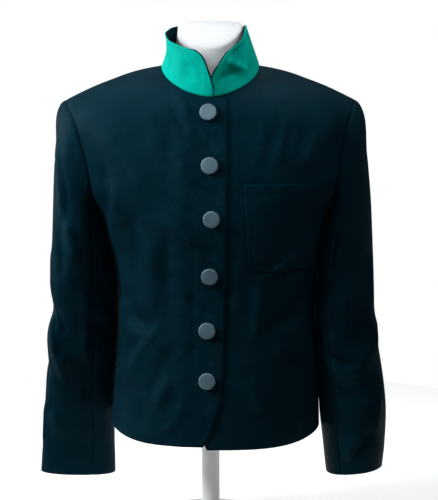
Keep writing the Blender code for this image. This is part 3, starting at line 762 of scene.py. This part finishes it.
def mesh_of(name, points, faces, uvs=None, second=(), weld=False):
    """A smooth-shaded mesh in metres, with a UV map in metres and some faces in the second slot."""
    mesh = bpy.data.meshes.new(name)
    mesh.from_pydata((np.asarray(points) * MM).tolist(), [], faces)
    if uvs is not None:
        layer = mesh.uv_layers.new(name="cloth")
        corners = np.empty(len(mesh.loops), np.int32)
        mesh.loops.foreach_get("vertex_index", corners)
        layer.data.foreach_set("uv", (np.asarray(uvs)[corners] * MM).ravel())
    if len(second):
        mesh.polygons.foreach_set("material_index", np.asarray(second, np.int32))
    shape = bmesh.new()
    shape.from_mesh(mesh)
    if weld:
        bmesh.ops.remove_doubles(shape, verts=shape.verts, dist=0.00002)
        bmesh.ops.dissolve_degenerate(shape, edges=shape.edges, dist=0.00001)
    bmesh.ops.recalc_face_normals(shape, faces=shape.faces)
    shape.to_mesh(mesh)
    shape.free()
    mesh.shade_smooth()
    return mesh


def quads(rows, columns, wrap=False, start=0):
    i, j = np.meshgrid(np.arange(rows - 1), np.arange(columns if wrap else columns - 1), indexing="ij")
    k = (j + 1) % columns
    low = start + i * columns
    high = low + columns
    return np.stack((low + j, low + k, high + k, high + j), axis=-1).reshape(-1, 4).tolist()


def fan(first, count, tip):
    """Triangles from a ring of points to one point."""
    return [(first + j, first + (j + 1) % count, tip) for j in range(count)]


def shell(name, outer, inner, slots=(NAVY, LINING)):
    """A piece of cloth: an outer and an inner skin joined by a rounded edge all round."""
    rows, columns = outer.shape[:2]
    count = rows * columns
    loop = [(0, j) for j in range(columns)] + [(i, columns - 1) for i in range(1, rows)]
    loop += [(rows - 1, j) for j in range(columns - 2, -1, -1)] + [(i, 0) for i in range(rows - 2, 0, -1)]
    out = np.zeros_like(outer)
    out[0] += unit(outer[0] - outer[1])
    out[-1] += unit(outer[-1] - outer[-2])
    out[:, 0] += unit(outer[:, 0] - outer[:, 1])
    out[:, -1] += unit(outer[:, -1] - outer[:, -2])
    thick = np.linalg.norm(outer - inner, axis=-1, keepdims=True)
    bulge = (outer + inner) / 2 + unit(out) * np.minimum(thick, WALL) * EDGE_ROUND
    middle = np.array([bulge[i, j] for i, j in loop])
    faces = quads(rows, columns)
    second = [0] * len(faces) + [1] * len(faces)
    faces += quads(rows, columns, start=count)
    size = len(loop)
    for k in range(size):
        a = loop[k][0] * columns + loop[k][1]
        b = loop[(k + 1) % size][0] * columns + loop[(k + 1) % size][1]
        m, n = 2 * count + k, 2 * count + (k + 1) % size
        faces.append((a, b, n, m))
        faces.append((m, n, b + count, a + count))
    second += [0, 0] * size
    uv = np.stack((arcs(outer, 1)[0], arcs(outer, 0)[0]), axis=-1)
    uvs = np.concatenate((uv.reshape(-1, 2), uv.reshape(-1, 2), [uv[i, j] for i, j in loop]))
    points = np.concatenate((outer.reshape(-1, 3), inner.reshape(-1, 3), middle))
    return link(name, mesh_of(name, points, faces, uvs, second), slots)


def finish_piece(thing, slot, replaced=True):
    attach(thing, "root")
    if replaced:
        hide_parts(slot)
    return thing


def front_edge(side):
    edges = EDGE_OVER if side < 0 else EDGE_UNDER
    return lambda height: side * (value_at(edges, "out", height) - value_at(TORSO, "shift", height))


def front_relief(x, height):
    """All folds and creases of the fronts, by place."""
    return relief(FRONT_FOLDS, x, height) + creased(FRONT_CREASES, x, height) + waver(x, height, WAVER)


def front_grid(side):
    """Outer and inner points of one front. The wearer's right front lies over the left."""
    over = side < 0
    grid = half_panel(-1, side, front_edge(side), HEM_OVER if over else HEM_UNDER, BODY_GRID)
    found = normals(grid)
    grid[:, -1] += unit(grid[:, -2] - grid[:, -1]) * SEAM / 2
    grid[-1, NECK_COLUMNS:] += unit(grid[-2, NECK_COLUMNS:] - grid[-1, NECK_COLUMNS:]) * SEAM / 2
    x, height = grid[..., 0], grid[..., 2] - HEM
    from_edge, from_side = arcs(grid, 1)
    from_hem, from_top = arcs(grid, 0)
    raised = front_relief(x, height) * smooth(from_side / SIDE_FADE) * smooth(from_top / TOP_FADE)
    raised = raised + shut(from_side, SIDE_DIP) + shut(from_top) + ridge(from_edge, EDGE_TURN, EDGE_HEIGHT, 3.5)
    raised = raised + ridge(from_hem, HEM_TURN)
    lift = np.zeros_like(x)
    if over:
        lift = (WALL + FRONT_LAY) / np.maximum(np.abs(found[..., 1]), 0.5) * smooth((x - LIFT_START) / LIFT_SPAN)
    grid = grid + found * raised[..., None]
    grid[..., 1] -= lift
    return grid, grid - found * WALL


def middle_line(height):
    return 0.0 * height


def back_panel():
    right, left = (half_panel(1, side, middle_line, HEM_BACK, BODY_GRID) for side in (-1, 1))
    grid = np.concatenate((right[:, :0:-1], left), axis=1)
    found = normals(grid)
    middle = grid.shape[1] // 2
    shoulder = [j for j in range(grid.shape[1]) if abs(j - middle) >= NECK_COLUMNS]
    for edge, near in ((0, 1), (-1, -2)):
        grid[:, edge] += unit(grid[:, near] - grid[:, edge]) * SEAM / 2
    grid[-1, shoulder] += unit(grid[-2, shoulder] - grid[-1, shoulder]) * SEAM / 2
    x, height = grid[..., 0], grid[..., 2] - HEM
    from_side = np.minimum(*arcs(grid, 1))
    from_hem, from_top = arcs(grid, 0)
    raised = relief(BACK_FOLDS, x, height) + creased(BACK_CREASES, x, height) + waver(x, height, WAVER, 0.8)
    raised = raised * smooth(from_side / SIDE_FADE) * smooth(from_top / TOP_FADE)
    raised = raised + shut(from_side, SIDE_DIP) + shut(from_top) + ridge(from_hem, HEM_TURN)
    grid = grid + found * raised[..., None]
    return grid, grid - found * WALL


def sleeve_ring(rows, side, height, angle):
    """Points of the sleeve's tube. Angle 0 is its outer line and 90 degrees its front."""
    outer = value_at(rows, "outer", height)
    inner = value_at(rows, "inner", height)
    deep = value_at(rows, "deep", height)
    turn = np.radians(value_at(rows, "turn", height))
    reach = (outer - inner) / 2
    wide = np.sqrt(reach**2 - (deep * np.sin(turn)) ** 2) / np.cos(turn)
    x = wide * power(np.cos(angle), 0.92)
    y = -deep * power(np.sin(angle), 0.92)
    out = (outer + inner) / 2 + x * np.cos(turn) - y * np.sin(turn)
    back = value_at(rows, "middle", height) - x * np.sin(turn) + y * np.cos(turn)
    up = height + value_at(rows, "tilt", height) * np.cos(angle)
    return np.stack((side * out, back, up + HEM), axis=-1)


def armhole_points(side, angles):
    """Where the sleeve is set in, going round from the shoulder tip by the front to the armpit."""
    height = ARMPIT + (TIP - ARMPIT) * (1 + np.cos(angles)) / 2
    out = value_at(ARMHOLE, "out", height)
    front = body_point(-1, side, out, height)
    back = body_point(1, side, out, height)
    points = np.where((np.sin(angles) >= 0)[:, None], front, back)
    points[:, 0] += side * SEAM
    return points


def sleeve_grid(side):
    rows = SLEEVE_RIGHT if side < 0 else SLEEVE_LEFT
    creases = CREASES_RIGHT if side < 0 else CREASES_LEFT
    angles = 2 * math.pi * np.arange(SLEEVE_SIDES) / SLEEVE_SIDES
    top = rows["height"][-1]
    bottom = rows["height"][0]
    grid = [sleeve_ring(rows, side, bottom + (top - bottom) * i / TUBE_ROWS, angles) for i in range(TUBE_ROWS)]
    start = armhole_points(side, angles)
    end = sleeve_ring(rows, side, top, angles)
    chord = np.linalg.norm(end - start, axis=1, keepdims=True)
    swing = CAP_SWING if side < 0 else CAP_SWING_LEFT
    fall = np.radians(CAP_FALL - swing * (1 + np.cos(angles)))
    leave = np.stack((side * np.cos(fall), 0 * fall, -np.sin(fall)), axis=1) * chord
    arrive = unit(sleeve_ring(rows, side, top - 10, angles) - end) * chord
    grid += [hermite(1 - i / CAP_ROWS, start, leave, end, arrive) for i in range(CAP_ROWS + 1)]
    grid = np.array(grid)
    found = normals(grid, wrap=True)
    arc = SLEEVE_ARC * np.array([math.remainder(a, 2 * math.pi) for a in angles])[None, :] + 0 * grid[..., 0]
    height = grid[..., 2] - HEM
    from_cuff, from_top = arcs(grid, 0)
    clear = smooth((1.25 + np.cos(angles)) / 0.9)
    raised = relief(SLEEVE_FOLDS, arc, height) * smooth(from_top / 60) * clear
    raised = raised + creased(creases, arc, height) * smooth(from_top / 30) * clear
    raised = raised + waver(arc, height, WAVER, 1.6 if side < 0 else 2.9) * clear
    # The cap is eased in, with faint puckers along its seam
    pucker = PUCKER_HEIGHT * np.sin(angles * PUCKERS + 1.4 * np.sin(angles * 5))
    raised = raised + pucker * np.exp(-(((from_top - PUCKER_DROP) / 7) ** 2)) * smooth((np.cos(angles) + 0.4) / 0.6)
    # The inner side lies against the body
    from_inner = 180 - np.abs(np.degrees(np.arctan2(np.sin(angles), np.cos(angles))))
    inner_side = np.exp(-((from_inner / PRESS_ANGLE) ** 2))
    press = PRESS_RIGHT if side < 0 else PRESS_LEFT
    raised = raised * (1 - PRESS_CALM * inner_side) + value_at(press, "press", height) * inner_side
    raised = raised + shut(from_top, 0.9, 2.6) + ridge(from_cuff, CUFF_TURN)
    for seam in (SLEEVE_SEAM, SLEEVE_SIDES - SLEEVE_SEAM):
        gap = np.abs(np.arange(SLEEVE_SIDES) - seam) * 2 * SLEEVE_ARC * math.pi / SLEEVE_SIDES
        raised = raised + shut(gap)
    grid = grid + found * raised[..., None]
    return grid, normals(grid, wrap=True)


def sleeve_piece(grid, found, first, last):
    """Outer and inner points of one of the sleeve's two pieces, between two of the tube's columns."""
    columns = [j % SLEEVE_SIDES for j in range(first, last + 1)]
    piece = grid[:, columns]
    inner = piece - found[:, columns] * WALL
    for edge, near in ((0, 1), (-1, -2)):
        inward = unit(piece[:, near] - piece[:, edge]) * SEAM / 2
        piece[:, edge] += inward
        inner[:, edge] += inward
    return piece, inner


def neckline(around, set_out):
    """The seam between body and collar, at angles from the centre front."""
    out = NECK_HALF * np.abs(np.sin(around))
    front = body_point(-1, 1, out, neck_height(-1, out))
    back = body_point(1, 1, out, neck_height(1, out))
    points = np.where((np.cos(around) > 0)[:, None], front, back)
    points[:, 0] *= -np.sign(np.sin(around))
    points[:, 0] -= np.sin(around) * set_out
    points[:, 1] -= np.cos(around) * set_out
    points[:, 2] += SEAM
    return points


def collar_grid(columns=280, rows=30):
    ends = COLLAR["around"]
    t = np.linspace(0, 1, columns)
    # Closer columns at both front ends, where the edge curves most
    turns = ends[0] + (ends[-1] - ends[0]) * (t - 0.12 * np.sin(2 * math.pi * t) / (2 * math.pi) * 4)
    around = np.radians(turns)
    base = neckline(around, value_at(COLLAR, "set", turns))
    v = np.linspace(0, 1, rows + 1)[:, None]
    out = value_at(COLLAR, "lean", turns) * v + value_at(COLLAR, "waist", turns) * 4 * v * (1 - v)
    rise = value_at(COLLAR, "rise", turns) * v
    x = base[:, 0] - np.sin(around) * out
    y = base[:, 1] - np.cos(around) * out
    grid = np.stack((x, y, base[:, 2] + rise), axis=-1)
    found = normals(grid)
    run = COLLAR_ARC * np.where(turns > 180, turns - 360, turns)[None, :] + 0 * rise
    raised = creased(COLLAR_CREASES, run, rise) + waver(run * 2.2, rise * 1.6, 0.35, 0.4)
    from_base, from_top = arcs(grid, 0)
    from_end = np.minimum(*arcs(grid, 1))
    raised = raised * smooth(rise / 6) * smooth((from_end + 2) / 10) + shut(from_base, 0.5, 2.0)
    # A faint roll runs along the finished edge
    raised = raised - shut(np.minimum(from_top, from_end + 1) - 2.2, 0.12, 1.6)
    grid = grid + found * raised[..., None]
    return grid, normals(grid)


def facing_grid(grid, found):
    """The collar's inside. It shows past the outside as a thin line along the front edges."""
    outer = grid - found * (COLLAR_WALL + FACING_GAP)
    middle = np.abs(np.linspace(-1, 1, grid.shape[1]))[:, None]
    along = np.gradient(outer[-1], axis=0)
    beyond = unit(np.cross(found[-1], along))
    beyond *= np.sign(beyond[len(beyond) // 2, 2])
    outer[-1] += beyond * (FACING_TOP + FACING_WING * smooth((middle - 0.72) / 0.1))
    for edge, near in ((0, 1), (-1, -2)):
        outer[:, edge] += unit(outer[:, edge] - outer[:, near]) * FACING_END
    outer[0] += unit(outer[0] - outer[1]) * FACING_FOOT
    return outer, outer - found * FACING_WALL


def surface_of(grid):
    points = [Vector(p) for p in grid.reshape(-1, 3).tolist()]
    return BVHTree.FromPolygons(points, quads(*grid.shape[:2]))


def lay_on(surface, x, height):
    """The point of a skin, and its outward normal, straight behind a place seen from the front."""
    point, normal, _, _ = surface.ray_cast(Vector((x, -500, height + HEM)), Vector((0, 1, 0)))
    return None if point is None else (point, -normal if normal.y > 0 else normal)


def pocket_places(rows, columns, inset=0.0):
    """X and height over the patch pocket, whose lower corners are rounded."""
    v = np.linspace(0, 1, rows + 1)[:, None]
    u = np.linspace(0, 1, columns + 1)[None, :]
    height = POCKET_BOTTOM + inset + (POCKET_TOP - POCKET_BOTTOM - inset) * v + 0 * u
    start = POCKET_BOTTOM_X[0] + (POCKET_TOP_X[0] - POCKET_BOTTOM_X[0]) * v + inset
    end = POCKET_BOTTOM_X[1] + (POCKET_TOP_X[1] - POCKET_BOTTOM_X[1]) * v - inset
    up = height - POCKET_BOTTOM - inset
    corner = POCKET_CORNER
    cut = corner - np.sqrt(np.clip(corner**2 - np.clip(corner - up, 0, corner) ** 2, 0, None))
    return start + cut + (end - start - 2 * cut) * u, height


def pocket_grid():
    """Outer and inner points of the pocket, full in its middle and drawn in under each line of stitches."""
    x, height = pocket_places(64, 56)
    base = body_point(-1, 1, x - value_at(TORSO, "shift", height), height)
    found = normals(base)
    from_bottom, from_top = arcs(base, 0)
    from_edge = np.minimum(np.minimum(*arcs(base, 1)), from_bottom)
    raised = front_relief(x, height) + (POCKET_LAY + POCKET_WALL) + shut(from_edge - POCKET_STITCH, 0.45, 0.9)
    raised = raised + POCKET_FULL * smooth(from_edge / 25) * smooth(from_top / 30)
    raised = raised + ridge(from_top, POCKET_TURN, 0.35, 2.5) + shut(from_top - POCKET_HEM_STITCH, 0.4, 1.4)
    grid = base + found * raised[..., None]
    return grid, grid - found * POCKET_WALL


def stitch_line(points, found):
    """Short raised stitches along a line on the cloth."""
    run = np.concatenate(([0], np.cumsum(np.linalg.norm(np.diff(points, axis=0), axis=1))))
    verts, faces = [], []
    for k in range(int(run[-1] / STITCH_PITCH)):
        middle = (k + 0.5) * STITCH_PITCH
        at = [middle + STITCH_LENGTH * share for share in (-0.5, -0.25, 0.25, 0.5)]
        high = [-0.1, 0.16, 0.16, -0.1]
        radii = [STITCH_RADIUS * share for share in (0.35, 1.0, 1.0, 0.35)]
        centre = np.array([[np.interp(a, run, points[:, c]) for c in range(3)] for a in at])
        up = unit(np.array([np.interp(middle, run, found[:, c]) for c in range(3)]))
        along = unit(centre[-1] - centre[0])
        across = np.cross(along, up)
        first = len(verts)
        for c, h, radius in zip(centre, high, radii):
            for turn in range(6):
                angle = turn * math.pi / 3
                verts.append(c + up * (h + radius * math.sin(angle)) + across * radius * math.cos(angle))
        faces += [tuple(first + f for f in face) for face in quads(4, 6, wrap=True)]
        faces.append(tuple(first + t for t in range(6)))
        faces.append(tuple(first + 18 + t for t in range(6)))
    return verts, faces


def pocket_stitches(surface):
    """Topstitching round the pocket's three sewn sides and along its folded top hem."""
    steps = np.linspace(0, 1, 60)
    x, height = pocket_places(60, 1, POCKET_STITCH)
    sides = np.concatenate((
        np.stack((x[::-1, 0], height[::-1, 0]), axis=1),
        np.stack((x[0, 0] + (x[0, 1] - x[0, 0]) * steps[1:-1], np.full(58, height[0, 0])), axis=1),
        np.stack((x[:, 1], height[:, 1]), axis=1),
    ))
    start, end = POCKET_TOP_X
    hem = np.stack((start + 4 + (end - start - 8) * steps, np.full(60, POCKET_TOP - POCKET_HEM_STITCH)), axis=1)
    verts, faces = [], []
    for line in (sides, hem):
        placed = [spot for spot in (lay_on(surface, float(a), float(b)) for a, b in line) if spot]
        points = np.array([p[:] for p, _ in placed])
        found = np.array([n[:] for _, n in placed])
        more, rings = stitch_line(points, found)
        faces += [tuple(len(verts) + f for f in face) for face in rings]
        verts += more
    return link("pocket_stitching", mesh_of("pocket_stitching", verts, faces), [THREAD])


def turned(name, profile, steps, slots):
    """A turned piece from a profile of radius and height, listed down its outer side."""
    angles = 2 * math.pi * np.arange(steps) / steps
    rings = [(r, z) for r, z in profile if r > 0]
    points = [(r * math.cos(a), r * math.sin(a), z) for r, z in rings for a in angles]
    faces = quads(len(rings), steps, wrap=True)
    uvs = [(r * math.cos(a), r * math.sin(a)) for r, z in rings for a in angles]
    for first, z in ((0, profile[0][1]), ((len(rings) - 1) * steps, profile[-1][1])):
        points.append((0, 0, z))
        uvs.append((0, 0))
        faces += fan(first, steps, len(points) - 1)
    mesh = mesh_of(name, points, faces, uvs)
    mesh.set_sharp_from_angle(angle=math.radians(40))
    return link(name, mesh, slots)


def rounded(profile):
    """The same profile, with its corners softened by cutting each in two, twice over."""
    for _ in range(2):
        cut = [profile[0]]
        for (r0, z0), (r1, z1) in zip(profile[:-1], profile[1:]):
            cut.append((r0 * 0.75 + r1 * 0.25, z0 * 0.75 + z1 * 0.25))
            cut.append((r0 * 0.25 + r1 * 0.75, z0 * 0.25 + z1 * 0.75))
        profile = cut + [profile[-1]]
    return profile


def add_buttons(surface):
    r = BUTTON_RADIUS
    profile = [(0, 4.5), (0.5 * r, 4.45), (0.82 * r, 4.2), (0.93 * r, 3.9), (r, 2.9), (0.99 * r, 1.4), (0.93 * r, 0.3)]
    profile += [(0.8 * r, 0.1), (SHANK_RADIUS + 1, 0.1), (SHANK_RADIUS, 0), (SHANK_RADIUS, 0.5 - BUTTON_LIFT)]
    profile += [(0, 0.5 - BUTTON_LIFT)]
    for i, (x, height) in enumerate(BUTTONS):
        around = [lay_on(surface, x + dx, height + dz) for dx, dz in ((0, 0), (9, 0), (-9, 0), (0, 9), (0, -9))]
        normal = sum((n for _, n in around), Vector()).normalized()
        thing = turned(f"button_cover_{i + 1}", rounded(profile), 64, [SATIN_PAINTED_SHEEN])
        turn = normal.to_track_quat("Z", "Y").to_matrix().to_4x4()
        turn.translation = (around[0][0] + normal * BUTTON_LIFT) * MM
        thing.data.transform(turn)
        finish_piece(thing, f"button_{i + 1}")


def neck_cut(y):
    """Height of the form's slanting top, low at the front."""
    return NECK_CUT_FRONT + NECK_CUT_RISE * (1 - np.clip((50 - y) / 100, 0.0, 1.0) ** 2.5)


def form_shape():
    """Torso, arm caps and neck of the dress form as one closed skin."""
    size = (40, 34, 16, 14)
    sides = []
    for face, side in ((-1, 1), (1, 1), (1, -1), (-1, -1)):
        grid = half_panel(face, side, middle_line, FORM_BOTTOM - HEM_RISE, size, FORM_EASE, FORM_EASE_TOP, FORM_DROP,
                          FORM_ARM_GAP)
        grid[0, :, 2] = FORM_BOTTOM + HEM
        sides.append(grid)
    ring = np.concatenate((sides[0], sides[1][:, ::-1], sides[2], sides[3][:, ::-1]), axis=1)
    width = sides[0].shape[1]
    neck = size[2]
    picks = list(range(0, neck + 1)) + list(range(2 * width - 1 - neck, 2 * width))
    picks += list(range(2 * width, 2 * width + neck + 1)) + list(range(4 * width - 1 - neck, 4 * width))
    loop = ring[-1][picks]
    rows, columns = ring.shape[:2]
    points = ring.reshape(-1, 3).tolist()
    faces = quads(rows, columns, wrap=True)
    points.append(ring[0].mean(axis=0).tolist())
    faces += fan(0, columns, len(points) - 1)
    turn = np.arctan2(loop[:, 0] / NECK_HALF, (SHOULDER_Y - loop[:, 1]) / (NECK_DEEP + 15))
    rings = [loop]
    for share in np.concatenate(([0.03, 0.07, 0.12], np.linspace(0.18, 1.0, 16))):
        half, front, back = (value_at(NECK_RINGS, name, share) for name in ("half", "front", "back"))
        px = half * np.sin(turn)
        py = -np.where(np.cos(turn) > 0, front, back) * np.cos(turn)
        top = neck_cut(py) + HEM - NECK_EDGE
        rings.append(np.stack((px, py, loop[:, 2] + (top - loop[:, 2]) * share), axis=1))
    edge = rings[-1]
    centre = edge.mean(axis=0)
    for scale, lift in ((0.985, 0.8), (0.95, 1.5), (0.9, NECK_EDGE), (0.5, NECK_EDGE + 1)):
        level = (edge - centre) * (scale, scale, 0) + centre
        level[:, 2] = neck_cut(level[:, 1]) + HEM - NECK_EDGE + lift
        rings.append(level)
    start = len(points)
    for level in rings:
        points += level.tolist()
    faces += quads(len(rings), len(loop), wrap=True, start=start)
    points.append((float(centre[0]), float(centre[1]), float(neck_cut(centre[1])) + HEM + 1))
    last = start + (len(rings) - 1) * len(loop)
    faces += fan(last, len(loop), len(points) - 1)
    mesh = mesh_of("form_body", points, faces, weld=True)
    mesh.set_sharp_from_angle(angle=math.radians(55))
    return link("form_body", mesh, [FORM])


def add_stand():
    top = FORM_BOTTOM + HEM - STAND_GAP
    profile = [(0, top), (FLANGE_RADIUS - 1, top), (FLANGE_RADIUS, top - 1), (FLANGE_RADIUS, top - 7)]
    profile += [(POLE_RADIUS + 3, top - 9), (POLE_RADIUS, top - 14), (POLE_RADIUS, 44)]
    profile += [(POLE_RADIUS + 3, 30), (POLE_RADIUS + 12, 20), (60, 14), (STAND_RADIUS - 6, 10)]
    profile += [(STAND_RADIUS - 1, 8), (STAND_RADIUS, 6), (STAND_RADIUS, 1), (STAND_RADIUS - 1, 0), (0, 0)]
    return turned("stand_metal", profile, 96, [PAINT])


def add_light(name, place, target, size, power_w, colour, spread):
    data = bpy.data.lights.new(name, "AREA")
    data.shape = "RECTANGLE"
    data.size, data.size_y = size
    data.energy = power_w
    data.color = colour
    data.spread = math.radians(spread)
    thing = link(name, data)
    thing.location = place
    thing.rotation_euler = (Vector(target) - Vector(place)).to_track_quat("-Z", "Y").to_euler()


def add_stage():
    camera = bpy.data.cameras.new("camera")
    camera.sensor_fit = "VERTICAL"
    camera.sensor_height = CAMERA_SENSOR
    camera.lens = CAMERA_LENS
    thing = link("camera", camera)
    thing.location = CAMERA_PLACE
    thing.rotation_euler = (math.radians(90 - CAMERA_PITCH), 0, 0)
    bpy.context.scene.camera = thing

    turns = np.linspace(0, 2 * math.pi, 97)[:-1]
    wide, long = FLOOR_HALF
    mesh = bpy.data.meshes.new("floor")
    mesh.from_pydata([(wide * math.cos(a), FLOOR_MIDDLE + long * math.sin(a), 0) for a in turns], [], [list(range(96))])
    made, _, _, shader = material("pale_floor", (0.9, 0.9, 0.9), 0.9)
    put(shader, **{"Specular IOR Level": 0.1, "Emission Color": (1, 1, 1, 1), "Emission Strength": FLOOR_GLOW})
    floor = link("floor", mesh, [made])

    world = bpy.data.worlds.new("studio")
    world.use_nodes = True
    nodes, links = world.node_tree.nodes, world.node_tree.links
    sky = put(nodes["Background"], Color=(0.93, 0.97, 1.0, 1), Strength=SKY_STRENGTH)
    # The camera sees plain white behind the part, and only that
    white = node(nodes, "ShaderNodeBackground", Color=(1, 1, 1, 1), Strength=1.0)
    path = nodes.new("ShaderNodeLightPath")
    mix = nodes.new("ShaderNodeMixShader")
    links.new(path.outputs["Is Camera Ray"], mix.inputs["Fac"])
    links.new(sky.outputs["Background"], mix.inputs[1])
    links.new(white.outputs["Background"], mix.inputs[2])
    links.new(mix.outputs["Shader"], nodes["World Output"].inputs["Surface"])
    bpy.context.scene.world = world
    bpy.context.scene.view_settings.view_transform = "Standard"

    for light in LIGHTS:
        add_light(*light)


def main():
    for side, front, sleeve in ((-1, "front_right", "sleeve_right"), (1, "front_left", "sleeve_left")):
        grid, inner = front_grid(side)
        piece = finish_piece(shell(front + "_cloth", grid, inner), front)
        if side < 0:
            over = surface_of(grid)
        grid, found = sleeve_grid(side)
        top = shell(sleeve + "_top_cloth", *sleeve_piece(grid, found, -SLEEVE_SEAM, SLEEVE_SEAM))
        under = shell(sleeve + "_under_cloth", *sleeve_piece(grid, found, SLEEVE_SEAM, SLEEVE_SIDES - SLEEVE_SEAM))
        finish_piece(top, sleeve + "_top")
        finish_piece(under, sleeve + "_under")
    piece = finish_piece(shell("back_cloth", *back_panel()), "back")

    grid, found = collar_grid()
    piece = finish_piece(shell("collar_cloth", grid, grid - found * COLLAR_WALL, (GREEN, GREEN)), "collar")
    piece = shell("collar_facing_cloth", *facing_grid(grid, found), (NAVY, NAVY))
    finish_piece(piece, "collar_facing")

    grid, inner = pocket_grid()
    pocket = finish_piece(shell("pocket_cloth", grid, inner, (NAVY, NAVY)), "pocket")
    stitches = pocket_stitches(surface_of(grid))
    finish_piece(stitches, "pocket", replaced=False)

    add_buttons(over)
    finish_piece(form_shape(), "dress_form")
    finish_piece(add_stand(), "stand")
    add_stage()


main()
